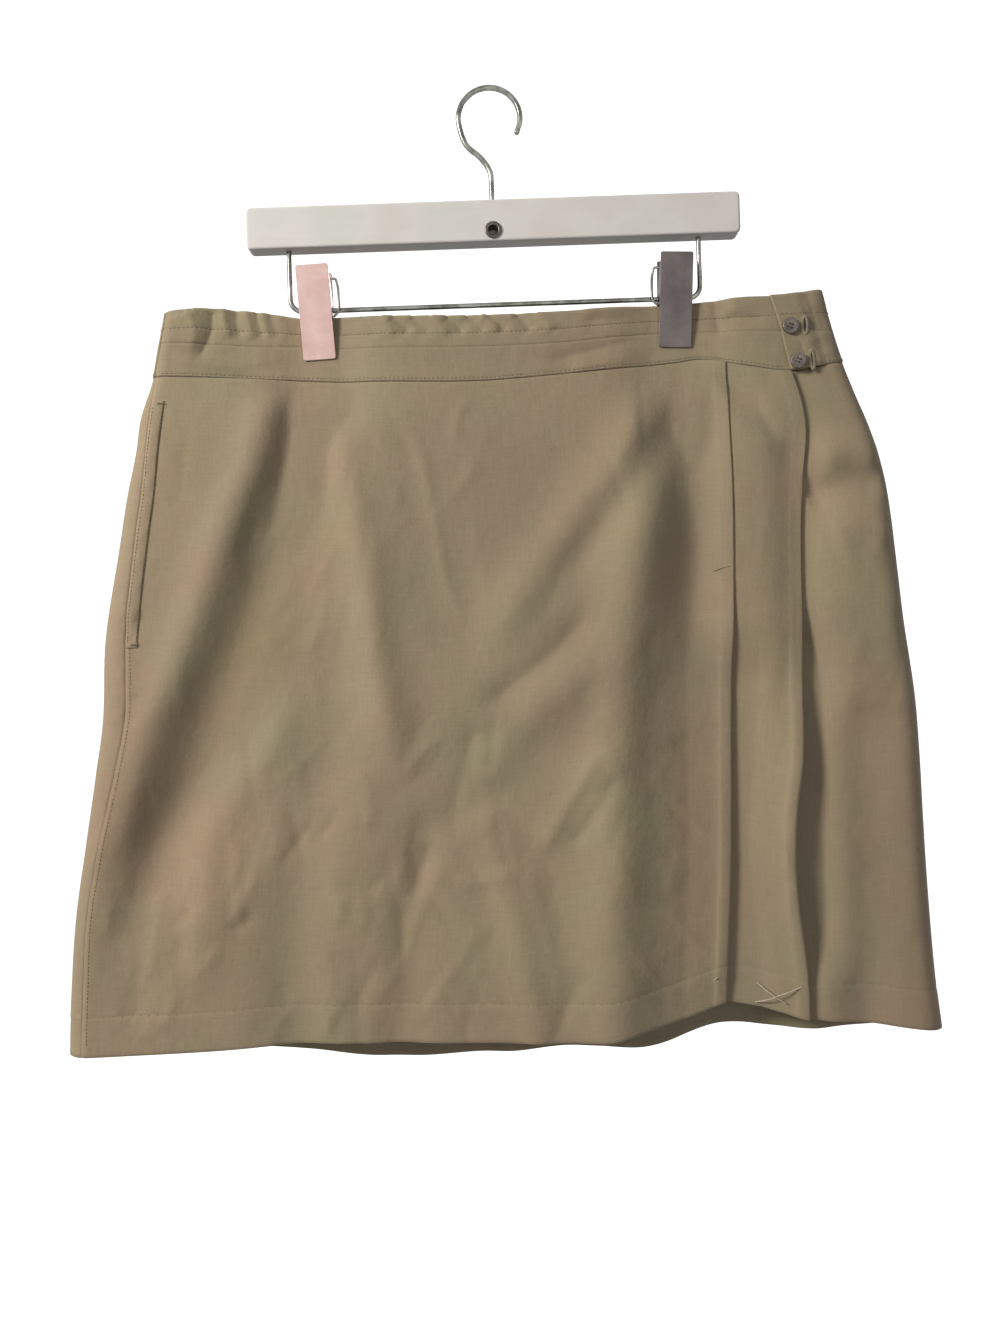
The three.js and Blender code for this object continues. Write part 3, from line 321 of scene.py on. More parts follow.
# Gathers and drag lines along the waistband. Those at its top edge run right out to it.
AT_EDGE = (0.01, 0.3)
GATHERS = [
    Fold(-3.2, 28, (-172, 140), (-172, 180), (-176, 220), fade=(0.01, 0.01)),
    crease(2.6, 9, (-217, 152), (-213, 166), (-217, 182), fade=AT_EDGE),
    crease(-2.6, 5, (-201, 152), (-202, 166), (-207, 178), (-216, 190), fade=AT_EDGE),
    crease(1.8, 4, (-193, 150), (-192, 162), (-188, 173), fade=AT_EDGE),
    crease(-1.6, 4, (-184, 150), (-184, 164), (-180, 174), fade=AT_EDGE),
    crease(1.6, 4, (-177, 152), (-175, 164), (-172, 174), fade=AT_EDGE),
    crease(-1.6, 3, (-170, 154), (-168, 166), (-165, 174), fade=AT_EDGE),
    crease(1.5, 3, (-166, 154), (-163, 165), (-161, 173), fade=AT_EDGE),
    crease(-1.7, 3, (-160, 155), (-157, 166), (-154, 174), fade=AT_EDGE),
    crease(1.6, 3, (-153, 156), (-150, 166), (-148, 174), fade=AT_EDGE),
    crease(-0.7, 3, (-94, 159), (-89, 168), (-84, 175), fade=AT_EDGE),
    crease(1.2, 3.5, (-80, 160), (-76, 168), (-72, 175), fade=AT_EDGE),
    crease(-1.5, 3, (-74, 161), (-66, 168), (-60, 175), fade=AT_EDGE),
    crease(-1.4, 3, (-60, 161), (-52, 169), (-46, 175), fade=AT_EDGE),
    crease(1.1, 4, (-44, 161), (-38, 170), (-34, 176), fade=AT_EDGE),
    crease(-1.6, 3, (-36, 162), (-28, 169), (-22, 176), fade=AT_EDGE),
    crease(-1.4, 3, (-22, 162), (-13, 169), (-7, 175), fade=AT_EDGE),
    crease(1.2, 3, (-10, 162), (-3, 169), (2, 175), fade=AT_EDGE),
    crease(-1.4, 3, (-7, 162), (2, 169), (8, 176), fade=AT_EDGE),
    crease(-1.7, 3.5, (14, 162), (21, 170), (26, 176), fade=AT_EDGE),
    crease(1.0, 5, (30, 162), (36, 170), (40, 176), fade=AT_EDGE),
    crease(-0.7, 3, (-150, 183), (-146, 191), (-147, 199)),
    crease(1.3, 5, (-232, 184), (-206, 190), (-180, 191), (-150, 189)),
    crease(-1.8, 4, (60, 168), (84, 168), (112, 170)),
    crease(1.5, 5, (58, 162), (84, 160), (112, 161)),
    crease(-2.2, 5, (28, 197), (62, 191), (92, 184), (116, 180)),
    crease(1.4, 5, (48, 203), (80, 198), (112, 192)),
    crease(-5.0, 7, (155, 150), (156, 168), (158, 186), fade=AT_EDGE),
    crease(1.6, 7, (167, 150), (168, 161), (169, 168), fade=AT_EDGE),
    crease(-1.3, 2.5, (161, 169), (176, 170), (193, 170.5)),
    crease(-2.0, 4, (147, 185), (155, 194), (164, 207), fade=(0.2, 0.01)),
    crease(0.6, 5, (176, 190), (190, 196), (204, 198)),
]
TAB_CREASES = [
    crease(1.1, 4, (214, 194), (222, 189), (233, 183)),
    crease(-1.2, 4, (220, 175), (226, 180), (234, 176)),
    crease(1.0, 5, (216, 166), (226, 162), (236, 156)),
    crease(-0.8, 4, (212, 190), (216, 196), (214, 202)),
    crease(0.9, 4, (222, 203), (232, 198), (240, 196)),
]
BACK_GATHERS = [
    crease(1.0, 4, (-176, 152), (-172, 165), (-170, 176), fade=AT_EDGE),
    crease(-1.0, 3, (-160, 152), (-156, 165), (-150, 176), fade=AT_EDGE),
    crease(-1.0, 3, (-76, 156), (-70, 168), (-66, 176), fade=AT_EDGE),
    crease(0.9, 4, (-58, 156), (-50, 168), (-47, 176), fade=AT_EDGE),
    crease(-1.1, 3, (-34, 158), (-28, 168), (-20, 177), fade=AT_EDGE),
    crease(0.8, 3, (-8, 158), (-2, 168), (2, 177), fade=AT_EDGE),
    crease(-1.0, 3, (22, 158), (28, 168), (34, 177), fade=AT_EDGE),
    crease(1.0, 4, (48, 158), (52, 168), (60, 177), fade=AT_EDGE),
    crease(-0.9, 3, (76, 157), (80, 168), (84, 176), fade=AT_EDGE),
    crease(1.4, 8, (196, 152), (198, 166), (196, 180), fade=AT_EDGE),
    crease(-1.3, 6, (178, 152), (176, 168), (182, 186), fade=AT_EDGE),
    crease(-0.9, 5, (30, 196), (-20, 190), (-84, 184)),
    crease(0.9, 5, (-60, 200), (10, 202), (70, 196)),
]


def pinched(x):
    return bell(np.maximum(np.abs(np.abs(x) - CLIP_AT) - CLIP_FLAT, 0), CLIP_REACH)


def depth(folds, creases, x, drop):
    """How far the cloth's middle stands from the middle plane, before layers are added."""
    free = soften((drop - FREE_FROM) / FREE_BELOW)
    folded = sum(fold.height(x, drop) for fold in folds) * free
    base = mix(DEPTHS("open", drop), DEPTHS("shut", drop), pinched(x)) + folded
    least = mix(PRESSED, LEAST_DEPTH, free)
    kept = 0.5 * (base + least + np.sqrt((base - least) ** 2 + 0.6 * free))
    return kept + sum(fold.height(x, drop) for fold in creases) * free


def rounding(x, drop):
    inward = np.minimum(x - SECTIONS("left", drop), SECTIONS("right", drop) - x)
    return np.sqrt(np.maximum(1 - (1 - np.clip(inward / DEPTHS("turn", drop), 0, 1)) ** 2, 0))


def front_y(x, drop):
    return -depth(FRONT_FOLDS, FRONT_CREASES, x, drop) * rounding(x, drop)


def back_y(x, drop):
    return depth(BACK_FOLDS, BACK_CREASES, x, drop) * BACK_SHARE * rounding(x, drop)


def wrap_side_y(x, drop):
    hollowed = front_y(x, drop) - WRAP_HOLLOW.height(x, drop)
    return np.minimum(hollowed, -LEAST_UNDER * rounding(x, drop))


def gathered(creases, x, drop):
    """Height of a band's gathers, which die away where the clips press it."""
    return sum(fold.height(x, drop) for fold in creases) * (1 - pinched(x)) * rounding(x, drop)


def band_y(x, drop):
    return front_y(x, drop) - gathered(GATHERS, x, drop)


def tab_y(x, drop):
    return front_y(x, drop) - gathered(TAB_CREASES, x, drop)


# ---- shaders -----------------------------------------------------------------------------------

class Value:
    """A socket's number or colour in a shader. Arithmetic on it adds Math nodes."""

    def __init__(self, finish, socket):
        self.finish, self.socket = finish, socket

    def maths(self, operation, first, second):
        return self.finish.node("ShaderNodeMath", {"operation": operation}, {0: first, 1: second})

    def __add__(self, other):
        return self.maths("ADD", self, other)

    def __radd__(self, other):
        return self.maths("ADD", other, self)

    def __sub__(self, other):
        return self.maths("SUBTRACT", self, other)

    def __rsub__(self, other):
        return self.maths("SUBTRACT", other, self)

    def __mul__(self, other):
        return self.maths("MULTIPLY", self, other)


class Finish:
    """A material with one Principled shader, and one way to add any other node to it."""

    def __init__(self, name, **sockets):
        self.material = bpy.data.materials.new(name)
        self.material.use_nodes = True
        self.tree = self.material.node_tree
        self.shader = self.tree.nodes["Principled BSDF"]
        self.give(sockets)

    def give(self, sockets):
        for name, value in sockets.items():
            self.feed(self.shader.inputs[name.replace("_", " ")], value)

    def feed(self, socket, value):
        if isinstance(value, Value):
            self.tree.links.new(value.socket, socket)
        else:
            socket.default_value = value

    def node(self, kind, settings, sockets, output=0):
        made = self.tree.nodes.new(kind)
        for key, value in settings.items():
            if key == "stops":
                self.set_stops(made.color_ramp, value)
            else:
                setattr(made, key, value)
        for key, value in sockets.items():
            self.feed(made.inputs[key], value)
        return Value(self, made.outputs[output])

    @staticmethod
    def set_stops(ramp, stops):
        while len(ramp.elements) < len(stops):
            ramp.elements.new(1.0)
        for element, (place, color) in zip(ramp.elements, stops):
            element.position = place
            element.color = color

    def place(self):
        """Where a point of the surface is, in metres."""
        return self.node("ShaderNodeTexCoord", {}, {}, "Object")

    def flat(self):
        """Where it is on the flat cloth, in metres."""
        return self.node("ShaderNodeUVMap", {"uv_map": "cloth"}, {})

    def stretched(self, vector, scale):
        return self.node("ShaderNodeMapping", {}, {"Vector": vector, "Scale": scale})

    def noise(self, vector, scale, detail=2.0, roughness=0.5):
        sockets = {"Vector": vector, "Scale": scale, "Detail": detail, "Roughness": roughness}
        return self.node("ShaderNodeTexNoise", {}, sockets)

    def ramp(self, value, *stops):
        return self.node("ShaderNodeValToRGB", {"stops": stops}, {"Fac": value})

    def band(self, value, start, end):
        """0 at start and 1 at end, smooth between."""
        sockets = {"Value": value, "From Min": start, "From Max": end}
        return self.node("ShaderNodeMapRange", {"interpolation_type": "SMOOTHSTEP"}, sockets)

    def patch(self, place, x, drop, lean, across, down):
        """1 in the middle of an oval on the front of the cloth, 0 outside it."""
        sockets = {"Vector": place, "Location": (x / 1000, -0.02, -drop / 1000),
                   "Rotation": (0.0, math.radians(lean), 0.0), "Scale": (across / 1000, 0.034, down / 1000)}
        local = self.node("ShaderNodeMapping", {"vector_type": "TEXTURE"}, sockets)
        far = self.node("ShaderNodeVectorMath", {"operation": "LENGTH"}, {0: local}, "Value")
        return self.band(far, 1.0, 0.15)

    def blend(self, share, first, second, way="MIX"):
        settings = {"data_type": "RGBA", "blend_type": way}
        return self.node("ShaderNodeMix", settings, {0: share, 6: first, 7: second}, 2)

    def bump(self, height, distance, strength=1.0, under=None):
        sockets = {"Height": height, "Distance": distance, "Strength": strength}
        if under:
            sockets["Normal"] = under
        return self.node("ShaderNodeBump", {}, sockets)


def paint(red, green, blue):
    return (red, green, blue, 1.0)


WEAVE_SCALE = 400 / 3               # draws the twill's diagonals about 3.3 mm apart

# Painted light and shade: a mild drift of the front's tone and hue, each tint within 12% of the cloth's own
# colour:
# (across, drop, lean, half width, half height) of a soft oval, and its tint.
PAINTED_LIGHT_AND_SHADE = [
    ((-215, 580, 25, 75, 130), (1.10, 1.02, 1.02)),
    ((-168, 380, 32, 42, 150), (1.06, 0.95, 0.90)),
    ((-20, 285, 0, 125, 110), (0.90, 0.89, 0.90)),
    ((35, 555, 25, 100, 185), (1.12, 1.11, 1.09)),
    ((78, 330, 8, 34, 100), (1.10, 1.10, 1.07)),
    ((-95, 590, -12, 60, 120), (1.06, 1.02, 1.02)),
    ((92, 570, 3, 24, 130), (0.88, 0.94, 0.88)),
    ((128, 540, 2, 26, 180), (0.95, 0.90, 0.88)),
    ((180, 430, 0, 26, 190), (1.08, 1.07, 1.04)),
    ((258, 560, -4, 42, 150), (0.92, 0.89, 0.88)),
    ((232, 330, 0, 44, 80), (1.08, 1.08, 1.04)),
    ((-222, 178, 0, 62, 42), (0.90, 0.88, 0.89)),
    ((10, 192, 0, 150, 26), (0.94, 0.92, 0.94)),
    ((218, 185, 0, 36, 50), (0.90, 0.91, 0.90)),
    ((-283, 520, 12, 34, 170), (0.92, 0.90, 0.89)),
    ((-215, 250, 0, 36, 50), (0.95, 0.97, 0.90)),
]


def twill(name, tint):
    """Smooth cotton twill: fine diagonals, slubs, a faint rose-olive drift, and ovals of painted light and
    shade.
    """
    cloth = Finish(name, Sheen_Weight=0.12, Sheen_Roughness=0.5, Specular_IOR_Level=0.22)
    flat, place = cloth.flat(), cloth.place()
    drift = cloth.noise(place, 9.0, 4.0, 0.62)
    base = cloth.ramp(drift, (0.36, paint(0.328, 0.234, 0.144)), (0.5, paint(0.314, 0.243, 0.146)),
                      (0.64, paint(0.298, 0.246, 0.140)))
    slubs = cloth.noise(cloth.stretched(flat, (60.0, 900.0, 1.0)), 1.0, 2.0)
    warps = cloth.noise(cloth.stretched(flat, (900.0, 60.0, 1.0)), 1.0, 2.0)
    grain = (slubs + warps) * 0.5
    shade = cloth.band(grain, 0.3, 0.7)
    wear_and_painted_light = cloth.blend(0.17, base, cloth.blend(shade, paint(0.22, 0.17, 0.105), paint(0.42, 0.34, 0.22)))
    # Painted light and shade: each oval multiplies the cloth's colour by its tint.
    for where, tone in PAINTED_LIGHT_AND_SHADE:
        wear_and_painted_light = cloth.blend(cloth.patch(place, *where), wear_and_painted_light, cloth.blend(1.0, wear_and_painted_light, paint(*tone), "MULTIPLY"))
    cloth.give({"Base Color": cloth.blend(1.0, wear_and_painted_light, tint, "MULTIPLY")})
    settings = {"wave_type": "BANDS", "bands_direction": "DIAGONAL", "wave_profile": "SIN"}
    sockets = {"Vector": flat, "Scale": WEAVE_SCALE, "Distortion": 0.4, "Detail": 1.0}
    weave = cloth.node("ShaderNodeTexWave", settings, sockets)
    rumple = cloth.noise(cloth.stretched(flat, (30.0, 20.0, 1.0)), 1.0, 4.0, 0.6)
    rumpled = cloth.bump(rumple, 0.0024, 0.6)
    height = weave * 0.5 + grain * 0.8
    cloth.give({"Roughness": 0.86 - grain * 0.12, "Normal": cloth.bump(height, 0.00012, 0.5, rumpled)})
    return cloth.material


def thread(name, color):
    """Twisted cotton thread with a slight shine."""
    cotton = Finish(name, Specular_IOR_Level=0.3, Sheen_Weight=0.1)
    place = cotton.place()
    twist = cotton.noise(place, 2600.0, 1.0)
    pale = tuple(min(1.0, part * 1.25) for part in color)
    dark = tuple(part * 0.78 for part in color)
    cotton.give({"Base Color": cotton.blend(twist, paint(*dark), paint(*pale)),
                 "Roughness": 0.75 - twist * 0.15, "Normal": cotton.bump(twist, 0.0001, 0.6)})
    return cotton.material


def painted_wood():
    """Off-white satin paint over wood: brush lines along the bar, dull patches, a few worn spots."""
    wood = Finish("bar_off_white", Specular_IOR_Level=0.28)
    place = wood.place()
    brushed = wood.noise(wood.stretched(place, (14.0, 260.0, 420.0)), 1.0, 3.0)
    cloudy = wood.noise(place, 16.0, 3.0)
    speck = wood.noise(place, 240.0, 4.0, 0.7)
    wear_and_painted_light = wood.band(wood.noise(place, 34.0, 5.0, 0.72), 0.71, 0.75) * wood.band(speck, 0.5, 0.6)
    coat = wood.ramp(cloudy, (0.3, paint(0.70, 0.64, 0.575)), (0.52, paint(0.75, 0.71, 0.66)),
                     (0.7, paint(0.68, 0.67, 0.60)))
    tinted = wood.blend(brushed * 0.16, coat, paint(0.52, 0.48, 0.42))
    wood.give({"Base Color": wood.blend(wear_and_painted_light * 0.75, tinted, paint(0.20, 0.15, 0.10)),
               "Roughness": 0.5 + cloudy * 0.16 + wear_and_painted_light * 0.2,
               "Normal": wood.bump(brushed - wear_and_painted_light * 0.8, 0.00018, 0.4)})
    return wood.material


def wire_metal(name, dark, light, rough):
    """Drawn wire: fine streaks along it and dull spots where it has been handled."""
    wire = Finish(name, Metallic=1.0)
    place = wire.place()
    streak = wire.noise(wire.stretched(place, (900.0, 900.0, 60.0)), 1.0, 2.0)
    dull = wire.noise(place, 70.0, 4.0, 0.6)
    wire.give({"Base Color": wire.blend(wire.band(dull, 0.35, 0.65), paint(*dark), paint(*light)),
               "Roughness": rough + dull * 0.2 - streak * 0.05,
               "Normal": wire.bump(streak, 0.00006, 0.5)})
    return wire.material


def clip_metal(name, dark, light, rough, metallic):
    """Pressed sheet with a satin finish brushed along the plate, rubbed at random."""
    plate = Finish(name, Metallic=metallic, Specular_IOR_Level=0.5)
    place = plate.place()
    brushed = plate.noise(plate.stretched(place, (1600.0, 1600.0, 28.0)), 1.0, 2.0)
    rubbed = plate.noise(place, 42.0, 4.0, 0.6)
    scratch = plate.band(plate.noise(plate.stretched(place, (90.0, 90.0, 700.0)), 1.0, 3.0), 0.70, 0.74)
    base = plate.blend(plate.band(rubbed, 0.3, 0.7), paint(*dark), paint(*light))
    pale = tuple(mix(part, 1.0, 0.25) for part in light)
    plate.give({"Base Color": plate.blend(scratch * 0.35, base, paint(*pale)),
                "Roughness": rough + rubbed * 0.18 + brushed * 0.08 - scratch * 0.1,
                "Normal": plate.bump(brushed * 0.6 - scratch, 0.00005, 0.6)})
    return plate.material


def button_horn():
    """Mottled brown horn with paler streaks and a low polish."""
    horn = Finish("button_mottled_horn", Coat_Weight=0.35, Coat_Roughness=0.18)
    place = horn.place()
    streak = horn.noise(horn.stretched(place, (260.0, 260.0, 620.0)), 1.0, 4.0, 0.6)
    cloud = horn.noise(place, 150.0, 3.0)
    mottled = horn.ramp(streak * 0.6 + cloud * 0.4, (0.34, paint(0.03, 0.02, 0.013)),
                        (0.48, paint(0.075, 0.052, 0.035)), (0.58, paint(0.15, 0.11, 0.078)),
                        (0.70, paint(0.32, 0.26, 0.20)))
    horn.give({"Base Color": mottled, "Roughness": 0.34 + cloud * 0.16,
               "Normal": horn.bump(streak, 0.00008, 0.5)})
    return horn.material


TWILL = twill("khaki_twill", paint(1.0, 1.0, 1.0))
# The same twill darkened a little as painted shade, for the shorts that hang inside the skirt.
TWILL_IN_PAINTED_SHADE = twill("khaki_twill_in_painted_shade", paint(0.86, 0.84, 0.82))
SEWING = thread("khaki_thread", (0.20, 0.155, 0.095))
BASTING = thread("basting_thread", (0.50, 0.42, 0.31))
WORKED_THREAD = thread("buttonhole_thread", (0.30, 0.245, 0.165))
DARK_THREAD = thread("button_thread", (0.13, 0.10, 0.07))
# A near-black sheet laid in each buttonhole's opening: painted shadow.
SHADOW_IN_SLIT = thread("slit_shadow", (0.035, 0.026, 0.018))
BAR_PAINT = painted_wood()
STEEL = wire_metal("wire_grey_steel", (0.10, 0.10, 0.085), (0.26, 0.26, 0.235), 0.22)
BRONZE = wire_metal("eyelet_dark_bronze", (0.03, 0.024, 0.02), (0.10, 0.085, 0.075), 0.3)
# One metal for both clips: the left's pale rose is a painted pink reflection, the right's dark taupe a
# painted dark one.
CLIP_PINK_REFLECTION = clip_metal("clip_painted_pink_reflection", (0.53, 0.345, 0.31), (0.62, 0.44, 0.40), 0.36, 0.35)
CLIP_DARK_REFLECTION = clip_metal("clip_painted_dark_reflection", (0.07, 0.057, 0.053), (0.125, 0.105, 0.098), 0.34, 0.55)
HORN = button_horn()

# ---- meshes ------------------------------------------------------------------------------------


def linked(name, points, faces, material=None):
    """A mesh object in the scene, from points in metres."""
    mesh = bpy.data.meshes.new(name)
    mesh.from_pydata(points, [], faces)
    if material:
        mesh.materials.append(material)
    made = bpy.data.objects.new(name, mesh)
    bpy.context.collection.objects.link(made)
    return made


def in_metres(points):
    return (np.asarray(points) * MM).tolist()


def piece(name, points, faces, material, slot, flat=None):
    """A smooth piece from millimetre points that rides on the one body."""
    made = linked(name, in_metres(points), faces, material)
    mesh = made.data
    if flat is not None:
        corners = np.empty(len(mesh.loops), dtype=np.int64)
        mesh.loops.foreach_get("vertex_index", corners)
        layer = mesh.uv_layers.new(name="cloth")
        layer.data.foreach_set("uv", (np.asarray(flat)[corners] * MM).ravel())
    mesh.shade_smooth()
    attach(made, "root")
    return made


def steps_of(grid):
    """Steps down and along the grid at each of its points."""
    return np.gradient(grid, axis=0), np.gradient(grid, axis=1)


def outward(grid):
    down, along = steps_of(grid)
    way = np.cross(down, along)
    return way / np.maximum(np.linalg.norm(way, axis=2, keepdims=True), 1e-9)


def flat_places(grid):
    """Where each point of the grid lies on the cloth before it was folded."""
    along = np.linalg.norm(np.diff(grid, axis=1), axis=2)
    down = np.linalg.norm(np.diff(grid, axis=0), axis=2)
    u = np.concatenate([np.zeros((grid.shape[0], 1)), np.cumsum(along, axis=1)], axis=1)
    v = np.concatenate([np.zeros((1, grid.shape[1])), np.cumsum(down, axis=0)], axis=0)
    u = u - u[:, u.shape[1] // 2, None]
    return np.stack([u, -v], axis=2)


def shell(name, grid, thick, material, nodes, rim=0.4):
    """Cloth of even thickness round a grid of points, with a soft rim."""
    rows, columns = grid.shape[:2]
    out = outward(grid) * thick / 2
    down, along = steps_of(grid)
    flat = flat_places(grid)
    ring = [(0, j) for j in range(columns)] + [(i, columns - 1) for i in range(1, rows)]
    ring += [(rows - 1, j) for j in range(columns - 2, -1, -1)] + [(i, 0) for i in range(rows - 2, 0, -1)]
    edge = []
    for i, j in ring:
        way = np.zeros(3)
        way += {0: -1, rows - 1: 1}.get(i, 0) * down[i, j] / np.linalg.norm(down[i, j])
        way += {0: -1, columns - 1: 1}.get(j, 0) * along[i, j] / np.linalg.norm(along[i, j])
        edge.append(grid[i, j] + way / np.linalg.norm(way) * thick * rim)
    points = np.concatenate([(grid + out).reshape(-1, 3), (grid - out).reshape(-1, 3), edge])
    size = rows * columns
    i, j = np.meshgrid(np.arange(rows - 1), np.arange(columns - 1), indexing="ij")
    corner = (i * columns + j).ravel()
    quads = np.stack([corner, corner + columns, corner + columns + 1, corner + 1], axis=1)
    faces = np.concatenate([quads, quads[:, ::-1] + size]).tolist()
    for k, (a, b) in enumerate(zip(ring, ring[1:] + ring[:1])):
        first, second = a[0] * columns + a[1], b[0] * columns + b[1]
        mid, after = 2 * size + k, 2 * size + (k + 1) % len(ring)
        faces.append([first, second, after, mid])
        faces.append([mid, after, second + size, first + size])
    flats = flat.reshape(-1, 2)
    edge_flat = np.array([flat[a] for a in ring])
    made = piece(name, points, faces, material, "twill", np.concatenate([flats, flats, edge_flat]))
    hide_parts(*nodes)
    return made


def unit(ways):
    """Each way with a length of 1."""
    return ways / np.maximum(np.linalg.norm(ways, axis=-1, keepdims=True), 1e-9)


def rings_mesh(rings, first=None, last=None, closed=False):
    """Points and faces of a skin over rings of points, shut by a pole at each end or in a loop."""
    count, sides = rings.shape[:2]
    points = rings.reshape(-1, 3).tolist()
    faces = []
    for i in range(count if closed else count - 1):
        a, b = i * sides, ((i + 1) % count) * sides
        faces += [[a + k, a + (k + 1) % sides, b + (k + 1) % sides, b + k] for k in range(sides)]
    for pole, base, flip in ((first, 0, 1), (last, (count - 1) * sides, -1)):
        if pole is not None:
            points.append(list(pole))
            at = len(points) - 1
            faces += [[at, base + (k + 1) % sides, base + k][::flip] for k in range(sides)]
    return points, faces


def tube(path, radius, sides=12, tip=4, closed=False):
    """A round bar along a path, with domed ends."""
    path = np.asarray(path, float)
    if closed:
        way = unit(np.roll(path, -1, axis=0) - np.roll(path, 1, axis=0))
    else:
        way = unit(np.gradient(path, axis=0))
    radii = np.broadcast_to(np.asarray(radius, float), len(path)).copy()
    first = last = None
    if not closed:
        bends = np.radians(np.linspace(90, 0, tip + 1))[1:-1] if tip > 1 else np.array([])
        ahead = [path[0] - way[0] * radii[0] * math.cos(bend) for bend in bends[::-1]]
        behind = [path[-1] + way[-1] * radii[-1] * math.cos(bend) for bend in bends]
        first, last = path[0] - way[0] * radii[0], path[-1] + way[-1] * radii[-1]
        small = np.sin(bends)
        path = np.array([*ahead, *path, *behind])
        way = np.array([*([way[0]] * len(bends)), *way, *([way[-1]] * len(bends))])
        radii = np.array([*(radii[0] * small[::-1]), *radii, *(radii[-1] * small)])
    side = np.cross(way[0], (0.31, 0.9, 0.2))
    turns = np.linspace(0, 2 * math.pi, sides, endpoint=False)
    rings = []
    for place, ahead, size in zip(path, way, radii):
        side = unit(side - ahead * side.dot(ahead))
        other = np.cross(ahead, side)
        rings.append(place + size * (np.outer(np.cos(turns), side) + np.outer(np.sin(turns), other)))
    return rings_mesh(np.array(rings), first, last, closed)


def merged(parts):
    """Several meshes' points and faces as one."""
    points, faces = [], []
    for more_points, more_faces in parts:
        start = len(points)
        points += list(more_points)
        faces += [[start + index for index in face] for face in more_faces]
    return points, faces


def spun(profile, sides=40):
    """A body turned about the Y axis from (radius, y) points that start and end on it or close up."""
    profile = np.asarray(profile, float)
    turns = np.linspace(0, 2 * math.pi, sides, endpoint=False)
    ends = profile[0][0] == 0
    rows = profile[1:-1] if ends else profile
    rings = np.array([[(r * math.cos(t), y, r * math.sin(t)) for t in turns] for r, y in rows])
    poles = ((0, profile[0][1], 0), (0, profile[-1][1], 0)) if ends else (None, None)
    return rings_mesh(rings, *poles, closed=not ends)


def moved(mesh, place):
    points, faces = mesh
    return (np.asarray(points) + place).tolist(), faces


def face_of(grid, thick):
    """A sheet's outer face and the ways that it faces, for laying things on it."""
    out = outward(grid)
    return grid + out * thick / 2, out


def line_down(face, column, span=slice(None)):
    """A run of points and their outward ways down the face, at a column that may be fractional."""
    places, out = (part.swapaxes(0, 1) for part in face)
    return line_across((places, out), column, span)


def line_across(face, row, span=slice(None)):
    places, out = face
    i = min(int(row), len(places) - 2)
    return mix(places[i], places[i + 1], row - i)[span], mix(out[i], out[i + 1], row - i)[span]


STITCH_ENDS = ((-0.5, -0.9, 0.5), (-0.34, 0.35, 0.95), (0.0, 0.75, 1.0), (0.34, 0.35, 0.95), (0.5, -0.9, 0.5))


def stitches(runs, long, pitch, thick, wander=0.0):
    """Stitches along runs of surface points, each diving into the cloth at both ends."""
    turns = np.linspace(0, 2 * math.pi, 6, endpoint=False)
    shape = [(along * long, math.cos(t) * size * thick, rise * thick + math.sin(t) * size * thick)
             for along, rise, size in STITCH_ENDS for t in turns]
    shape = np.array(shape)
    count = len(STITCH_ENDS)
    ends = [list(range(6))[::-1], list(range((count - 1) * 6, count * 6))]
    sides = rings_mesh(shape.reshape(count, 6, 3))[1]
    parts = []
    for places, out in runs:
        steps = np.linalg.norm(np.diff(places, axis=0), axis=1)
        far = np.concatenate([[0], np.cumsum(steps)])
        at = np.arange(pitch / 2, far[-1], pitch)
        at = at + np.array([chance.uniform(-0.08, 0.08) * pitch for _ in at])
        middle, face, after, before = (np.stack([np.interp(where, far, axis) for axis in source.T], axis=1)
                                       for where, source in ((at, places), (at, out), (at + 0.5, places),
                                                             (at - 0.5, places)))
        ahead = unit(after - before)
        beside = unit(np.cross(face, ahead))
        if wander:
            middle = middle + beside * np.array([[chance.uniform(-wander, wander)] for _ in at])
        up = np.cross(ahead, beside)
        for place, a, b, c in zip(middle, ahead, beside, up):
            parts.append((place + shape @ np.stack([a, b, c]), sides + ends))
    return merged(parts)


SHARP_EDGE = math.radians(42)


def added(name, mesh, material, slot, *nodes):
    """A hard piece or thread from a mesh's points and faces."""
    made = piece(name, *mesh, material, slot)
    made.data.set_sharp_from_angle(angle=SHARP_EDGE)
    if nodes:
        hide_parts(*nodes)
    return made


def cut(made, cutter):
    """Cuts a mesh's body out of a piece."""
    points, faces = cutter
    tool = linked("cutter", in_metres(points), faces)
    change = made.modifiers.new("cut", "BOOLEAN")
    change.operation, change.solver, change.object = "DIFFERENCE", "EXACT", tool
    shaped = made.evaluated_get(bpy.context.evaluated_depsgraph_get())
    result = bpy.data.meshes.new_from_object(shaped)
    made.modifiers.clear()
    made.data = result
    made.data.shade_smooth()
    made.data.set_sharp_from_angle(angle=SHARP_EDGE)
    bpy.data.objects.remove(tool)


# ---- skirt panels ------------------------------------------------------------------------------

BESIDE_LINE = np.array([-2.4, -1.2, -0.5, 0, 0.5, 1.2, 2.4])


def shares(count, *lines):
    """Shares from 0 to 1 in a column, closer together beside each line that is given."""
    steps = np.linspace(0, 1, count)
    for line, close in lines:
        steps = steps[np.abs(steps - line) > 3 * close]
        steps = np.sort(np.concatenate([steps, line + close * BESIDE_LINE]))
    return steps[:, None]


HEM_LINE = 1 - HEM_TURNED / (HEM_LEVEL - WAIST_SEAM)
HEM_CLOSE = 1.0 / (HEM_LEVEL - WAIST_SEAM)
HEM_DOUBLED, HEM_DRAWN = 0.15, 0.16


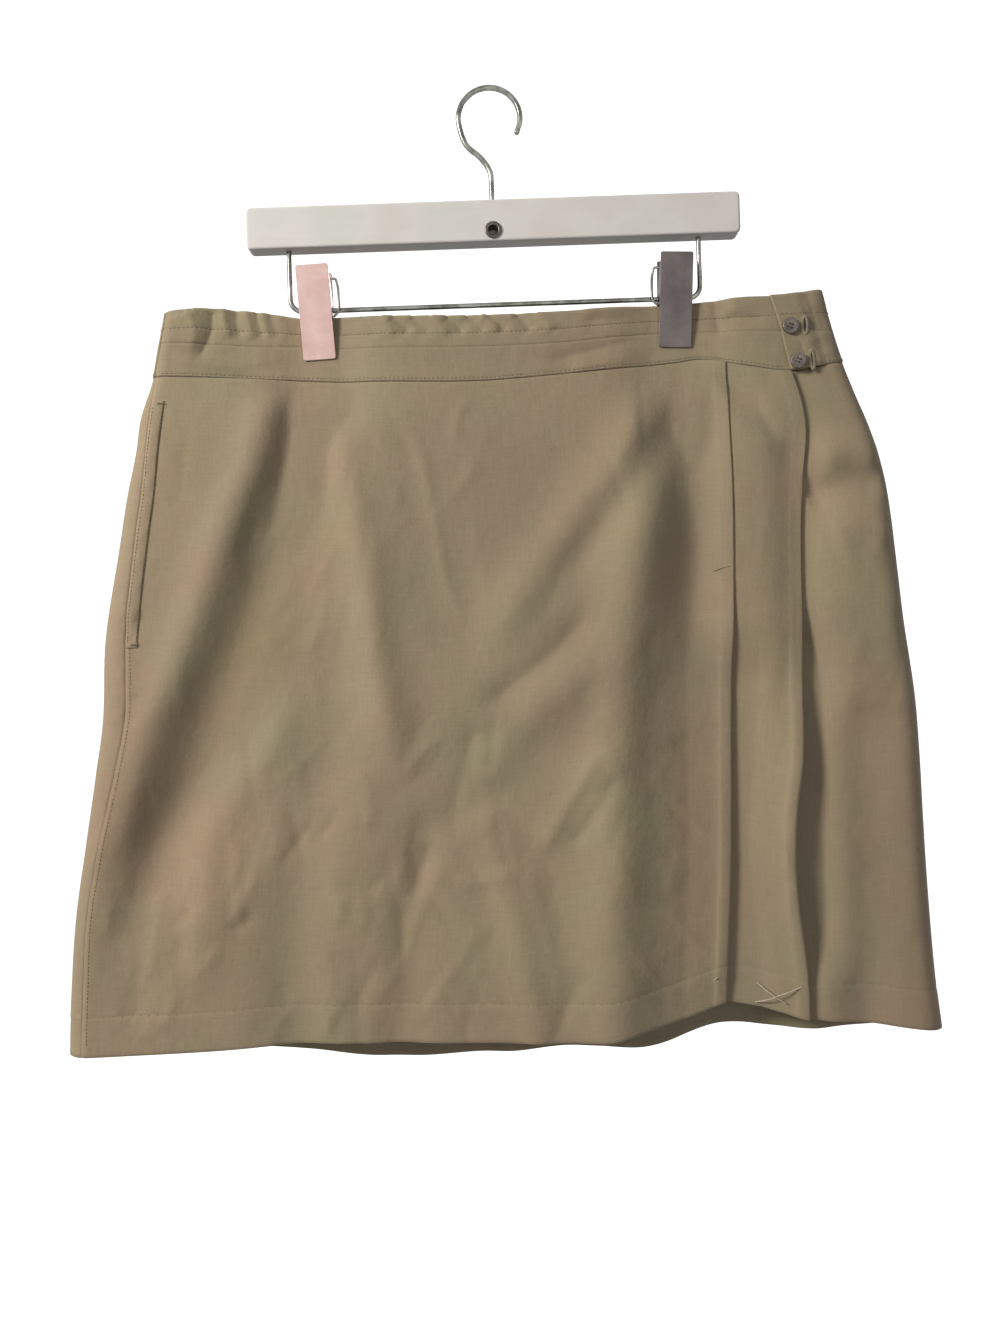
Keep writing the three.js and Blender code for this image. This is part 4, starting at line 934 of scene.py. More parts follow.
def hemmed(grid, share):
    """The turned-up hem makes the cloth a little prouder below its stitch line, which is drawn in."""
    out = outward(grid)
    doubled = HEM_DOUBLED * soften((share - HEM_LINE) / (3 * HEM_CLOSE))
    drawn = HEM_DRAWN * bell(share - HEM_LINE, 1.2 * HEM_CLOSE)
    return grid + out * (doubled - drawn)[..., None]


def even(start, end, count):
    """Columns from start to end, one row for each row of start."""
    return mix(start, end, np.linspace(0, 1, count)[None, :])


def panel_drop(x, share, edge):
    return mix(WAIST("seam", x) + SEAM_DROP, HEM(edge, x), share)


def layer_pitch(drop):
    """The layers of a pleat lie closer where it is stitched down."""
    return mix(STITCHED_PITCH, FOLD_PITCH, soften((drop - STITCH_END) / 70))


def tucked(edge, pitch, spread, goes_on, per=4):
    """Path of a knife pleat at each level: out to the edge, round it and back under."""
    full = 2 * pitch + spread
    bend = (pitch + spread) / 2
    inner = edge - PLEAT_DEPTH
    flat = np.zeros_like(edge)
    path = [(inner - 15, flat), (inner - 7, full * 0.3), (inner + 6, full * 0.75), (edge - 7, full)]
    for turn in np.radians(np.linspace(90, -90, 5)):
        path.append((edge - bend * (1 - math.cos(turn)), pitch + bend + bend * math.sin(turn)))
    path.append((inner + (0.8 if goes_on else 4), pitch))
    if goes_on:
        path += [(inner, pitch / 2), (inner + 0.8, flat), (edge + 2, flat)]
    points = np.stack([np.concatenate(pair, axis=1) for pair in path], axis=1)
    dense = smoothed(points, per)
    return dense[..., 0], dense[..., 1]


def gape(drop, most, fullest):
    """How far a pleat's layers part below its stitching."""
    opening = soften((drop - STITCH_END) / (fullest - STITCH_END))
    return most * opening * (1 - 0.75 * soften((drop - fullest) / (HEM_LEVEL - fullest)))


FRONT_ROWS, SIDE_ROWS, BACK_ROWS = 190, 170, 150


def front_grid(columns=150):
    share = shares(FRONT_ROWS, (HEM_LINE, HEM_CLOSE))
    drop = mix(WAIST_SEAM, HEM_LEVEL, share)
    start = SECTIONS("seam", drop) + SEAM_LINE
    pleat, wrap = SECTIONS("pleat", drop), SECTIONS("wrap", drop)
    plain = even(start, pleat - PLEAT_DEPTH - 18, columns)
    pitch = layer_pitch(drop)
    pleat_x, pleat_lift = tucked(pleat, pitch, gape(drop, *PLEAT_GAPE), True)
    wrap_x, wrap_lift = tucked(wrap, pitch, gape(drop, *WRAP_GAPE), False)
    x = np.concatenate([plain, pleat_x, wrap_x], axis=1)
    lift = np.concatenate([np.zeros_like(plain), pleat_lift, wrap_lift], axis=1)
    z = panel_drop(x, share, "front")
    return hemmed(np.stack([x, front_y(x, z) - lift, -z], axis=2), share)


def side_turn(column, drop, start, end, count):
    """Places round a side fold from angle start to end, and which side of the skirt they lie on."""
    turn = DEPTHS("turn", drop)
    inward = 1 if column == "left" else -1
    angle = np.radians(even(start + 0 * drop, end + 0 * drop, count))
    return SECTIONS(column, drop) + inward * turn * (1 - np.cos(angle)), np.sign(angle)


def turn_angle(inward, drop):
    """Angle round a side fold at which a place lies that far inward of it."""
    return np.degrees(np.arccos(1 - np.clip(inward / DEPTHS("turn", drop), 0, 1)))


def at_side(column, drop, share, levels=panel_drop):
    """How far down the side fold itself lies at each level of a panel."""
    return levels(SECTIONS(column, drop), share, "front")


def seam_strip(drop, side_drop, clear, count):
    """Places from the left side seam round to the far left edge of the fold."""
    left = SECTIONS("left", side_drop)
    inward = SECTIONS("seam", drop) - clear - left
    first = turn_angle(inward, side_drop)
    bends = np.cos(np.radians(first * np.linspace(1, 0, count)[None, :]))
    x = left + inward * (1 - bends) / (1 - np.cos(np.radians(first)))
    return x, -np.ones_like(x)


def joined(share, paths, front=front_y, back=back_y, under=None, levels=panel_drop):
    """Grid of points along paths of (across, side), where side is -1 in front and 1 behind."""
    x = np.concatenate([path[0] for path in paths], axis=1)
    side = np.concatenate([path[1] for path in paths], axis=1)
    z = np.where(side > 0, levels(x, share, "back"), levels(x, share, "front"))
    ahead = front(x, z)
    if under is not None:
        ahead = ahead + under(x)
    return np.stack([x, np.where(side > 0, back(x, z), ahead), -z], axis=2)


def before_fold(column, drop):
    """Where a panel's flat stretch meets the turn of a side fold."""
    inward = 1 if column == "left" else -1
    return SECTIONS(column, drop) + inward * DEPTHS("turn", drop)


def to_right_seam(start, right, columns, ahead, behind):
    """Paths from start, in front, round the right fold and on to the seam behind it."""
    flat = even(start, before_fold("right", right), columns)
    last = turn_angle(BACK_SEAM_INSET, right)
    return [(flat, -np.ones_like(flat)), side_turn("right", right, -80, 0, ahead),
            side_turn("right", right, last * 0.12, last, behind)]


def across_back(drop, left, right, clear, strip, bend, columns):
    """Paths from the left seam, in front, round the left fold and over the back to the right seam."""
    flat = even(before_fold("left", left), before_fold("right", right), columns)
    last = turn_angle(BACK_SEAM_INSET + 2 * clear, right)
    return [seam_strip(drop, left, clear, strip), side_turn("left", left, *bend), (flat, np.ones_like(flat)),
            side_turn("right", right, mix(90, last, 0.12), last, 6)]


def side_grid(columns=38):
    share = shares(SIDE_ROWS, (HEM_LINE, HEM_CLOSE))
    drop = mix(WAIST_SEAM, HEM_LEVEL, share)
    begin = SECTIONS("wrap", drop) - PLEAT_DEPTH - 2
    paths = to_right_seam(begin, at_side("right", drop, share), columns, 12, 8)
    grid = joined(share, paths, wrap_side_y,
                  under=lambda x: UNDER_CLEAR * (1 - soften((x - begin - PLEAT_DEPTH - 6) / 14)))
    return hemmed(grid, share)


def back_grid(columns=150):
    share = shares(BACK_ROWS, (HEM_LINE, HEM_CLOSE))
    drop = mix(WAIST_SEAM, HEM_LEVEL, share)
    left, right = at_side("left", drop, share), at_side("right", drop, share)
    paths = across_back(drop, left, right, SEAM_LINE, 14, (8, 82, 10), columns)
    return hemmed(joined(share, paths), share)


FRONT_GRID, SIDE_GRID, BACK_GRID = front_grid(), side_grid(), back_grid()
FRONT = shell("front_cloth", FRONT_GRID, TWILL_THICK, TWILL, ["front_panel"])
SIDE = shell("side_cloth", SIDE_GRID, TWILL_THICK, TWILL, ["side_panel"])
BACK = shell("back_cloth", BACK_GRID, TWILL_THICK, TWILL, ["back_panel"])

# ---- waistband ---------------------------------------------------------------------------------

STRETCHES = ("left", "middle", "right")
BAND_LINES = {"top": 0.55, "lower": 0.93}       # share of a band's height at its row of stitches
BAND_CLOSE, BAND_ROWS, BAND_DRAWN = 0.025, 13, 0.3


def band_drop(row):
    """A function that gives the drop of places in one row of the waistband."""
    def levels(x, share, edge):
        if row == "top":
            return mix(WAIST("top", x), WAIST("middle", x) - GAP / 2, share)
        return mix(WAIST("middle", x) + GAP / 2, WAIST("seam", x), share)
    return levels


def band_levels(row):
    share = shares(BAND_ROWS, (BAND_LINES[row], BAND_CLOSE))
    span = (BAND_TOP, BAND_MIDDLE) if row == "top" else (BAND_MIDDLE, WAIST_SEAM)
    return share, mix(*span, share)


def drawn_in(grid, share, line):
    """A row of stitches draws a slight groove along a band."""
    return grid - outward(grid) * (BAND_DRAWN * bell(share - line, 1.3 * BAND_CLOSE))[..., None]


def band_front_grid(row):
    share, drop = band_levels(row)
    x = even(SECTIONS("seam", drop) + BAND_SEAM_HALF, SECTIONS("wrap", drop) + TAB_UNDER, 380)
    grid = joined(share, [(x, -np.ones_like(x))], band_y, levels=band_drop(row))
    return drawn_in(grid, share, BAND_LINES[row])


def band_tab_grid(row):
    share, drop = band_levels(row)
    wrap = SECTIONS("wrap", drop)
    paths = to_right_seam(wrap, at_side("right", drop, share, band_drop(row)), 50, 10, 6)
    return joined(share, paths, tab_y, levels=band_drop(row),
                  under=lambda x: -TAB_LIFT * (1 - soften((x - wrap - TAB_UNDER - 2) / 10)))


def band_back_y(x, drop):
    return back_y(x, drop) + gathered(BACK_GATHERS, x, drop)


def band_back_grid(row):
    share, drop = band_levels(row)
    left, right = (at_side(column, drop, share, band_drop(row)) for column in ("left", "right"))
    paths = across_back(drop, left, right, BAND_SEAM_HALF, 8, (10, 80, 8), 300)
    grid = joined(share, paths, back=band_back_y, levels=band_drop(row))
    return drawn_in(grid, share, BAND_LINES[row])


BAND_GRIDS = {}
for row in BAND_LINES:
    grids = {"front": band_front_grid(row), "back": band_back_grid(row), "tab": band_tab_grid(row)}
    for side, grid in grids.items():
        nodes = [f"waistband_{row}_{side}_{stretch}" for stretch in STRETCHES]
        if side == "tab":
            nodes = [f"waistband_{row}_tab"]
        BAND_GRIDS[row, side] = grid
        shell(f"band_{row}_{side}", grid, BAND, TWILL, nodes)

# ---- pocket ------------------------------------------------------------------------------------


def pocket_grid(rows=90, columns=11):
    """The pocket's welt lies over the front beside the seam and sinks a little at its ends."""
    share = shares(rows)
    drop = mix(POCKET_TOP, POCKET_BOTTOM, share)
    start = SECTIONS("seam", drop) + SEAM_HALF + 0.2
    x = even(start, start + POCKET_WIDE, columns)
    z = drop + 0 * x
    ground = np.stack([x, front_y(x, z), -z], axis=2)
    t = np.linspace(0, 1, columns)[None, :]
    puffed = 0.4 * np.sin(np.pi * t) ** 0.7 + 0.2 * np.sin(share * 61) * np.sin(np.pi * t)
    flat_ends = soften(share * 12) * soften((1 - share) * 12)
    lift = TWILL_THICK * (0.7 + 0.5 * np.sin(np.pi * t) ** 0.4) + puffed * flat_ends
    return ground + outward(ground) * lift[..., None]


POCKET_GRID = pocket_grid()
POCKET = shell("pocket_welt", POCKET_GRID, TWILL_THICK, TWILL, ["pocket_edge"])

# ---- shorts ------------------------------------------------------------------------------------


SHORTS_MIDDLE, SHORTS_HALF_TOP, SHORTS_HALF_LEG = -8.0, 222.0, 262.0
SHORTS_CROTCH, SHORTS_HEM, INSEAM_FROM = 488.0, 612.0, 420.0
SHORTS_OPEN, SHORTS_SHUT = 3.4, 0.66    # how far each half stands from the middle plane


def shorts_grid(side, rows=60, half=50):
    """Front or back of the two legs, which meet at their side seams and inseams."""
    share = shares(rows)
    reach = np.linspace(0, 1, half) ** 0.8
    t = np.concatenate([-reach[:0:-1], reach])[None, :]
    x = SHORTS_MIDDLE + t * mix(SHORTS_HALF_TOP, SHORTS_HALF_LEG, soften(share * 1.5))
    off = np.abs(x - SHORTS_MIDDLE) - 4
    drop = mix(WAIST("seam", x) + 1, mix(SHORTS_CROTCH, SHORTS_HEM, soften(off / 13)), share)
    edge = soften((1 - np.abs(t)) * 9)
    inseam = mix(1, soften(off / 26), soften((drop - INSEAM_FROM) / FREE_BELOW))
    held = 1 - soften((drop - WAIST_SEAM) / 50)
    stands = mix(SHORTS_SHUT, mix(SHORTS_OPEN, SHORTS_SHUT, pinched(x) * held), edge * inseam)
    return np.stack([x, side * stands, -drop], axis=2)


# Painted shade: the shorts take the darkened copy of the twill.
SHORTS_FRONT = shell("shorts_front_cloth", shorts_grid(-1), TWILL_THICK, TWILL_IN_PAINTED_SHADE, ["shorts_front"])
SHORTS_BACK = shell("shorts_back_cloth", shorts_grid(1)[:, ::-1], TWILL_THICK, TWILL_IN_PAINTED_SHADE, ["shorts_back"])

# ---- sewing ------------------------------------------------------------------------------------

# Length, pitch and thickness of a stitch in each kind of row.
TOPSTITCH, EDGE_STITCH, BLIND_STITCH = (2.3, 3.1, 0.25), (2.0, 2.7, 0.22), (1.1, 6.5, 0.2)


def row_of(rows, line, close):
    """The grid row that lies on a stitch line."""
    return int(np.argmin(np.abs(shares(rows, (line, close))[:, 0] - line)))


def band_runs():
    runs = []
    for (row, side), grid in BAND_GRIDS.items():
        level = row_of(BAND_ROWS, BAND_LINES[row], BAND_CLOSE)
        span = {"front": slice(3, 365), "back": slice(4, -4), "tab": slice(3, -3)}[side]
        runs.append(line_across(face_of(grid, BAND), level, span))
    return runs


added("band_topstitching", stitches(band_runs(), *TOPSTITCH), SEWING, "twill")


def side_seam_row():
    """Close edge stitching beside the side seam below the pocket."""
    return line_down(face_of(FRONT_GRID, TWILL_THICK), 1.2, slice(76, -3))


POCKET_FACE = face_of(POCKET_GRID, TWILL_THICK)
EDGE_ROWS = [line_down(POCKET_FACE, 9.0, slice(2, -2)), line_down(POCKET_FACE, 1.0, slice(2, -2)),
             side_seam_row()]
added("panel_edge_stitching", stitches(EDGE_ROWS, *EDGE_STITCH), SEWING, "twill")


def hem_row(grid, rows, first, last):
    return line_across(face_of(grid, TWILL_THICK), row_of(rows, HEM_LINE, HEM_CLOSE), slice(first, last))


HEM_ROWS = [hem_row(FRONT_GRID, FRONT_ROWS, 4, 146), hem_row(SIDE_GRID, SIDE_ROWS, 16, -2),
            hem_row(BACK_GRID, BACK_ROWS, 3, -3)]
added("hem_blind_stitches", stitches(HEM_ROWS, *BLIND_STITCH, wander=0.4), SEWING, "twill")


def on_front(x, drop, lift=0.0):
    """A point on the front cloth's outer face, or above it."""
    pleat = SECTIONS("pleat", drop)
    layers = 0.0
    if x > pleat + 2:
        layers = float(gape(drop, *WRAP_GAPE) + 2 * layer_pitch(drop))
        layers *= float(soften((x - pleat - 16) / 14))
    elif x > pleat - 14:
        layers = float(gape(drop, *PLEAT_GAPE) + 2 * layer_pitch(drop))
    return np.array([x, float(front_y(x, drop)) - layers - TWILL_THICK / 2 - lift, -drop])


def strand(points, lift, thick=0.42):
    """A loose thread over the front, sunk into it at both ends."""
    run = [on_front(x, drop, 0.0 if i in (0, len(points) - 1) else lift)
           for i, (x, drop) in enumerate(points)]
    return tube(smoothed(run, 6), thick, 8, 2)


def bar_tack(places, across, long, turns=9, thick=0.24):
    """A short bar of close stitches set across a line of the cloth."""
    centre, out = places
    across = unit(np.asarray(across, float))
    along = unit(np.cross(across, out))
    parts = []
    for step in np.linspace(-0.5, 0.5, turns):
        middle = centre + along * step * long + out * 0.12
        reach = across * (0.55 + chance.uniform(-0.06, 0.06))
        arch = [middle - reach - out * 0.25, middle - reach * 0.7 + out * 0.14, middle + out * 0.22,
                middle + reach * 0.7 + out * 0.14, middle + reach - out * 0.25]
        parts.append(tube(smoothed(arch, 2), thick * 0.62, 6, 1))
    return merged(parts)


def bar_tacks():
    """A tack across each end of the pocket, and the one where the pleat's stitching ends."""
    runs = [(line_down(POCKET_FACE, 7.6), row) for row in (1, -2)]
    tacks = [bar_tack((places[row], out[row]), (0, 0, 1), 5) for (places, out), row in runs]
    tacks.append(strand([(146.5, 349.0), (152.0, 347.4), (157.8, 346.4)], 0.35, 0.3))
    return merged(tacks)


added("bar_tacks", bar_tacks(), SEWING, "twill")


def basting():
    """Long tacking threads still holding the pleats at the hem: two crossed, and one by itself."""
    return merged([
        strand([(167.5, 640.0), (173, 644.5), (178.5, 648.3), (185.6, 653.2)], 0.9),
        strand([(166.0, 653.8), (174, 650.2), (184, 645.8), (196.0, 641.4)], 1.6),
        strand([(122.6, 650.4), (127.5, 645.5), (133, 640.2), (138.8, 634.4)], 1.0),
    ])


added("basting_threads", basting(), BASTING, "twill")

# ---- buttons and buttonholes -------------------------------------------------------------------

BUTTON_RADIUS, BUTTON_THICK, BUTTON_DISH = 5.7, 2.4, 0.5
HOLE_RADIUS, HOLE_AT, HOLE_TURN = 0.75, 1.75, 0.3
BUTTON_SPOTS = {"upper": (206.2, 178.8), "lower": (210.6, 203.6)}


def button_shape():
    r, thick, dish = BUTTON_RADIUS, BUTTON_THICK, BUTTON_DISH
    outline = [(0, 0), (3.2, 0), (4.6, -0.02), (5.3, -0.3), (5.62, -0.8), (r, -1.3), (5.6, -1.8),
               (5.25, -2.2), (4.7, -thick), (4.15, -2.33), (3.75, -2.12), (3.3, -1.97), (2.6, dish - thick),
               (0, dish - thick)]
    return spun(outline, 48)


def hole_centres():
    turns = [turn * math.pi / 2 + HOLE_TURN for turn in range(4)]
    return [np.array([HOLE_AT * math.cos(t), 0.0, HOLE_AT * math.sin(t)]) for t in turns]


def button_threads(place):
    """Two pairs of holes, each sewn through several times."""
    spots = hole_centres()
    face = BUTTON_DISH - BUTTON_THICK
    parts = []
    for a, b in ((0, 1), (3, 2)):
        for turn in range(3):
            off = np.array([chance.uniform(-0.22, 0.22), 0.0, chance.uniform(-0.22, 0.22)])
            start, end = spots[a] + off, spots[b] + off
            middle = (start + end) / 2
            rise = face - 0.32 - 0.14 * turn
            run = [start + (0, -0.4, 0), mix(start, middle, 0.12) + (0, rise + 0.1, 0), middle + (0, rise, 0),
                   mix(end, middle, 0.12) + (0, rise + 0.1, 0), end + (0, -0.4, 0)]
            parts.append(moved(tube(smoothed(run, 4), 0.24, 8, 1), place))
    return merged(parts)


def tab_face(x, drop):
    """Outer face of the waistband's tab."""
    return float(tab_y(x, drop)) - TAB_LIFT - BAND / 2


def button(name, x, drop):
    face = float(front_y(x, drop)) - TAB_LIFT - BAND / 2 - 2 * GAP
    place = np.array([x, face, -drop])
    made = added(f"button_{name}_horn", moved(button_shape(), place), HORN, "button_horn", f"button_{name}")
    drill = spun([(0, 1), (HOLE_RADIUS, 1), (HOLE_RADIUS, -4), (0, -4)], 14)
    cut(made, merged([moved(drill, place + spot) for spot in hole_centres()]))
    return button_threads(place)


sewn_on = [button(name, *spot) for name, spot in BUTTON_SPOTS.items()]
added("button_threads", merged(sewn_on), DARK_THREAD, "twill")


def buttonhole(x, drop, long, wide, lean):
    """Worked edge of a buttonhole: close thread bars round a narrow lens of painted shadow, leaning with the
    tab.
    """
    bars = 58
    parts, inner = [], []
    for i in range(bars):
        turn = 2 * math.pi * i / bars
        down, out = math.cos(turn), math.sin(turn)
        narrow = wide * abs(out) ** 1.3 * math.copysign(1, out)
        centre = (x + (narrow + lean * down * long) / 2, drop + down * long / 2)
        way = np.array([math.copysign(1.0, out) * (0.25 + abs(out)), 0.0, -1.1 * down * abs(down) ** 3])
        way = unit(way)
        spot = np.array([centre[0], tab_face(*centre), -centre[1]])
        bar = [spot - way * 0.15 + (0, 0.25, 0), spot + way * 0.1 - (0, 0.42, 0),
               spot + way * 0.8 - (0, 0.5, 0), spot + way * 1.35 - (0, 0.12, 0),
               spot + way * 1.5 + (0, 0.25, 0)]
        parts.append(tube(smoothed(bar, 2), 0.3, 6, 1))
    for share in np.linspace(-1, 1, 13):
        half = wide * 0.62 * (1 - share * share) + 0.1
        at_x, at_drop = x + lean * share * long / 2, drop + share * long * 0.47
        inner.append([(at_x - half, tab_face(at_x - half, at_drop) - 0.1, -at_drop),
                      (at_x, tab_face(at_x, at_drop) - 0.18, -at_drop),
                      (at_x + half, tab_face(at_x + half, at_drop) - 0.1, -at_drop),
                      (at_x, tab_face(at_x, at_drop) + 0.3, -at_drop)])
    slit = rings_mesh(np.array(inner)[::-1], inner[-1][3], inner[0][3])
    return merged(parts), slit


WORKED = [buttonhole(216.8, 178.4, 11.0, 2.4, -0.02), buttonhole(220.8, 203.0, 12.0, 1.6, 0.05)]
added("buttonhole_stitching", merged([worked for worked, slit in WORKED]), WORKED_THREAD, "twill")
# Painted shadow: a near-black lens in each buttonhole's opening.
added("buttonhole_slit_shadows", merged([slit for worked, slit in WORKED]), SHADOW_IN_SLIT, "twill")

# ---- hanger ------------------------------------------------------------------------------------

BAR_LONG, BAR_HIGH, BAR_THICK = 350.0, 29.5, 15.0
BAR_BOTTOM, BAR_CORNER, BAR_EDGE = -110.0, 4.0, 1.6
BAR_TOP = BAR_BOTTOM + BAR_HIGH
EYELET_DROP, EYELET_RECESS = 102.5, 4.2
HOOK_WIRE, HOOK_BEND, HOOK_SUNK = 2.0, 22.0, 14.0
RAIL_WIRE, RAIL_HALF, RAIL_DROP, RAIL_BEND, RAIL_SUNK = 1.75, 146.0, 153.0, 8.5, 8.0
CLIP_TOP, CLIP_AT_TOP, CLIP_LEAN, CLIP_WIDE = -122.6, 129.0, 2.4, 23.0
COIL_TURNS, COIL_RADIUS, COIL_HALF, COIL_WIRE, LOOP_WIRE = 9, 3.35, 4.9, 0.52, 0.9


def rounded_outline(wide, high, corner, per=7):
    """Points round an upright plate with round corners, turning from +X to +Z."""
    points = []
    for turn, (sx, sz) in zip((0, 90, 180, 270), ((1, 1), (-1, 1), (-1, -1), (1, -1))):
        for bend in np.radians(np.linspace(turn, turn + 90, per)):
            points.append((sx * (wide / 2 - corner) + corner * math.cos(bend),
                           sz * (high / 2 - corner) + corner * math.sin(bend)))
    return points


def rod(start, end, radius, sides=24):
    """A plain round bar with flat ends, for drilling."""
    start, end = np.array(start, float), np.array(end, float)
    way = unit(end - start)
    side = unit(np.cross(way, (0.31, 0.9, 0.2)))
    other = np.cross(way, side)
    turns = np.linspace(0, 2 * math.pi, sides, endpoint=False)
    ring = radius * (np.outer(np.cos(turns), side) + np.outer(np.sin(turns), other))
    return rings_mesh(np.array([start + ring, end + ring]), start, end)


def bar_mesh():
    """The painted bar, its long edges rounded over in five steps."""
    levels = [(BAR_EDGE + 1.2, BAR_THICK / 2)]
    bends = np.radians(np.linspace(0, 90, 6))
    levels += [(BAR_EDGE * (1 - math.sin(bend)), BAR_THICK / 2 - BAR_EDGE * (1 - math.cos(bend)))
               for bend in bends]
    levels += [(inset, -y) for inset, y in levels[::-1]]
    middle = BAR_BOTTOM + BAR_HIGH / 2
    rings = []
    for inset, y in levels:
        outline = rounded_outline(BAR_LONG - 2 * inset, BAR_HIGH - 2 * inset, BAR_CORNER - inset * 0.6)
        rings.append([(x, y, middle + z) for x, z in outline])
    rings = np.array(rings)
    points, faces = rings_mesh(rings)
    sides = rings.shape[1]
    faces.append(list(range(sides))[::-1])
    faces.append(list(range(len(points) - sides, len(points))))
    return points, faces


BAR = added("painted_bar", bar_mesh(), BAR_PAINT, "bar_paint", "hanger_bar")
DRILLS = [rod((0, 1.5, -EYELET_DROP), (0, -9, -EYELET_DROP), EYELET_RECESS),
          rod((0, 0, BAR_TOP - HOOK_SUNK - GAP), (0, 0, BAR_TOP + 3), HOOK_WIRE + GAP)]
for x in (-RAIL_HALF, RAIL_HALF):
    DRILLS.append(rod((x, 0, BAR_BOTTOM - 3), (x, 0, BAR_BOTTOM + RAIL_SUNK + GAP), RAIL_WIRE + GAP))
cut(BAR, merged(DRILLS))

EYELET_OUTLINE = [(3.9, 7.5), (3.9, -0.3), (5.6, -0.3), (5.95, -0.5), (5.98, -0.8), (5.7, -1.08),
                  (5.1, -1.26), (4.5, -1.3), (3.95, -1.2), (3.55, -0.9), (3.35, -0.45), (3.3, 0.2),
                  (3.3, 7.5)]
added("rolled_eyelet", moved(spun(EYELET_OUTLINE, 48), (0, -BAR_THICK / 2, -EYELET_DROP)),
      BRONZE, "eyelet_bronze", "hanger_eyelet")


def arc(x, z, radius, start, end, count):
    return [(x + radius * math.cos(a), 0, z + radius * math.sin(a))
            for a in np.radians(np.linspace(start, end, count))]


def hook_path():
    top = BAR_TOP
    shank = [(0, 0, top - HOOK_SUNK + GAP), (0, 0, top), (0, 0, top + 12), (-0.6, 0, top + 22)]
    rise = [(-7, 0, top + 32.5), (-17, 0, top + 42)]
    bend = arc(0, -HOOK_BEND + HOOK_WIRE, HOOK_BEND, 192, -28, 12)
    return smoothed(shank + rise + bend, 7)


def rail_path():
    x, z = RAIL_HALF - RAIL_BEND, -RAIL_DROP + RAIL_BEND
    legs = [[(side * RAIL_HALF, 0, BAR_BOTTOM + RAIL_SUNK), (side * RAIL_HALF, 0, BAR_BOTTOM - 12)]
            for side in (-1, 1)]
    straight = [(t * x, 0, -RAIL_DROP) for t in np.linspace(-0.75, 0.75, 5)]
    return smoothed(legs[0] + arc(-x, z, RAIL_BEND, 180, 270, 5) + straight
                    + arc(x, z, RAIL_BEND, 270, 360, 5) + legs[1][::-1], 6)


added("hook_wire", tube(hook_path(), HOOK_WIRE, 20, 5), STEEL, "wire_steel", "hanger_hook")
added("rail_wire", tube(rail_path(), RAIL_WIRE, 20, 5), STEEL, "wire_steel", "hanger_rail")


def at_clip(mesh, side):
    """Leans a clip's points and sets them at its end of the rail."""
    points, faces = mesh
    x, y, z = np.asarray(points, float).T
    z = z - CLIP_TOP
    lean = math.radians(side * CLIP_LEAN)
    across = x * math.cos(lean) + z * math.sin(lean) + side * CLIP_AT_TOP
    return np.stack([across, y, z * math.cos(lean) - x * math.sin(lean) + CLIP_TOP], axis=1).tolist(), faces


def spring_mesh(side):
    """A close coil round the rail whose two ends stand up behind the plates."""
    coil = []
    for t in np.linspace(0, 1, COIL_TURNS * 16 + 1):
        turn = 2 * math.pi * COIL_TURNS * t + math.pi
        coil.append((COIL_HALF * (2 * t - 1), COIL_RADIUS * math.cos(turn),
                     -RAIL_DROP + COIL_RADIUS * math.sin(turn)))
    first = [(-COIL_HALF - 0.3, -5.4, -141), (-COIL_HALF - 0.2, -4.4, -147)]
    last = [(COIL_HALF + 0.2, -4.4, -147), (COIL_HALF + 0.3, -5.4, -141)]
    return at_clip(tube(smoothed(first + coil + last, 1), COIL_WIRE, 8, 2), side)


def loop_mesh(side):
    """The wire loop that stands out from a clip's outer side."""
    out, step = -side * (CLIP_WIDE / 2 + 1.4), -side * 4.0
    run = [(out, -7.2, -133.5), (out + step * 0.7, -7.0, -133.8), (out + step, -6.4, -137.5),
           (out + step, -3.8, -147), (out + step * 0.75, -3.5, -155.5), (out, -3.5, -158.5)]
    return at_clip(tube(smoothed(run, 7), LOOP_WIRE, 12, 4), side)


# Painted reflection: the left clip's plates pale rose, the right clip's dark taupe.
for name, side, metal in (("left", -1, CLIP_PINK_REFLECTION), ("right", 1, CLIP_DARK_REFLECTION)):
    added(f"clip_{name}_coil", spring_mesh(side), STEEL, "wire_steel", f"clip_{name}_spring")
    added(f"clip_{name}_wire", loop_mesh(side), STEEL, "wire_steel", f"clip_{name}_loop")
    for jaw in ("front", "back"):
        for held in bpy.data.objects[f"clip_{name}_{jaw}"].material_slots:
            held.material = metal

# ---- light and camera --------------------------------------------------------------------------


def glow(name, color, strength):
    """A matt white that gives its own light."""
    white = Finish(name, Base_Color=color, Roughness=0.95, Specular_IOR_Level=0.1,
                   Emission_Color=color, Emission_Strength=strength)
    return white.material


def stage_piece(name, points, faces, material):
    """A stage object that throws no light back on the cloth."""
    made = linked(name, points, faces, material)
    made.visible_diffuse = False
    return made


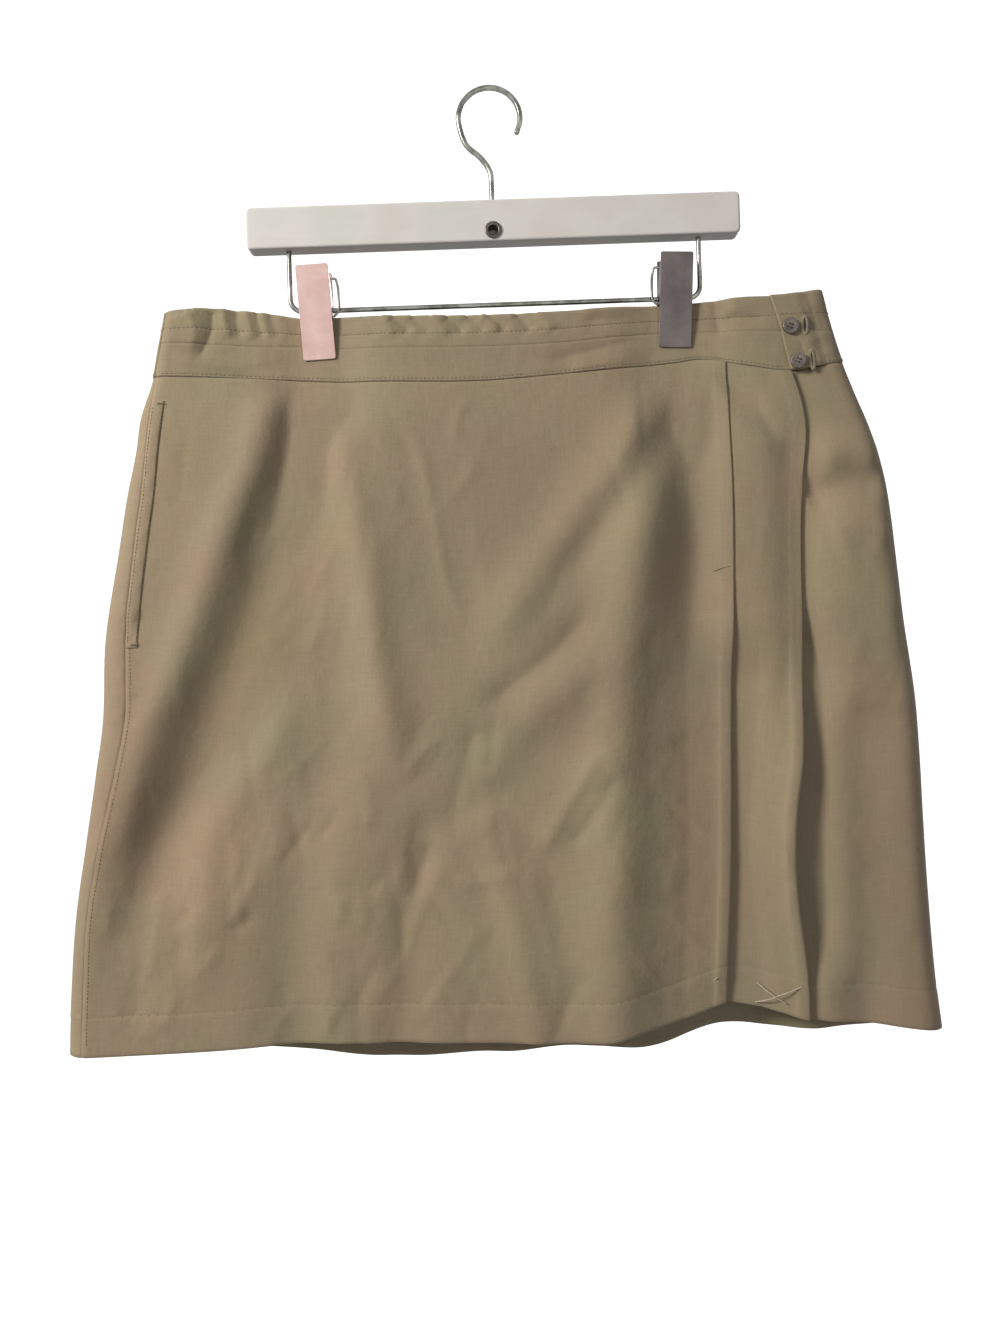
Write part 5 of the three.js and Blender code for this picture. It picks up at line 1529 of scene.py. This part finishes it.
def circle(radius, z, count):
    return [(radius * math.cos(a), radius * math.sin(a), z)
            for a in np.linspace(0, 2 * math.pi, count, endpoint=False)]


def dome(radius, rings=24, around=48):
    """A round shell about the part, from its top pole to its bottom one."""
    tilts = [math.pi * i / rings for i in range(1, rings)]
    levels = np.array([circle(radius * math.sin(tilt), radius * math.cos(tilt), around) for tilt in tilts])
    return rings_mesh(levels, (0, 0, radius), (0, 0, -radius))


FLOOR_SIDES = 64
backdrop = stage_piece("backdrop", *dome(5.0), glow("backdrop_white", paint(1, 1, 1), 1.0))
backdrop.visible_shadow = False
stage_piece("floor", circle(4.6, -1.35, FLOOR_SIDES), [list(range(FLOOR_SIDES))],
            glow("floor_white", paint(0.5, 0.5, 0.5), 2.05))

AIM = Vector((0, 0, -0.42))


def area_light(name, place, size, power, color):
    data = bpy.data.lights.new(name, "AREA")
    data.shape = "DISK"
    data.size = size
    data.energy = power
    data.color = color
    made = bpy.data.objects.new(name, data)
    made.location = place
    made.rotation_euler = (AIM - Vector(place)).to_track_quat("-Z", "Y").to_euler()
    bpy.context.collection.objects.link(made)
    return made


area_light("key", (-1.6, -1.1, 0.5), 0.6, 46, (1.0, 0.985, 0.965))
area_light("fill", (0.6, -2.2, -0.3), 1.6, 7, (0.97, 0.98, 1.0))
area_light("behind", (0.6, 1.7, 0.5), 1.0, 18, (1.0, 0.99, 0.98))

world = bpy.data.worlds.new("room")
world.use_nodes = True
world.node_tree.nodes["Background"].inputs["Color"].default_value = paint(0.95, 0.97, 1.0)
world.node_tree.nodes["Background"].inputs["Strength"].default_value = 0.12
bpy.context.scene.world = world

camera = bpy.data.cameras.new("view")
camera.sensor_fit = "VERTICAL"
camera.sensor_height = 36
camera.lens = 29.12
view = bpy.data.objects.new("view", camera)
view.location = (-0.0059, -0.7675, -0.4098)
view.rotation_euler = (math.radians(90), math.radians(2), 0)
bpy.context.collection.objects.link(view)
bpy.context.scene.camera = view
bpy.context.scene.view_settings.view_transform = "Standard"
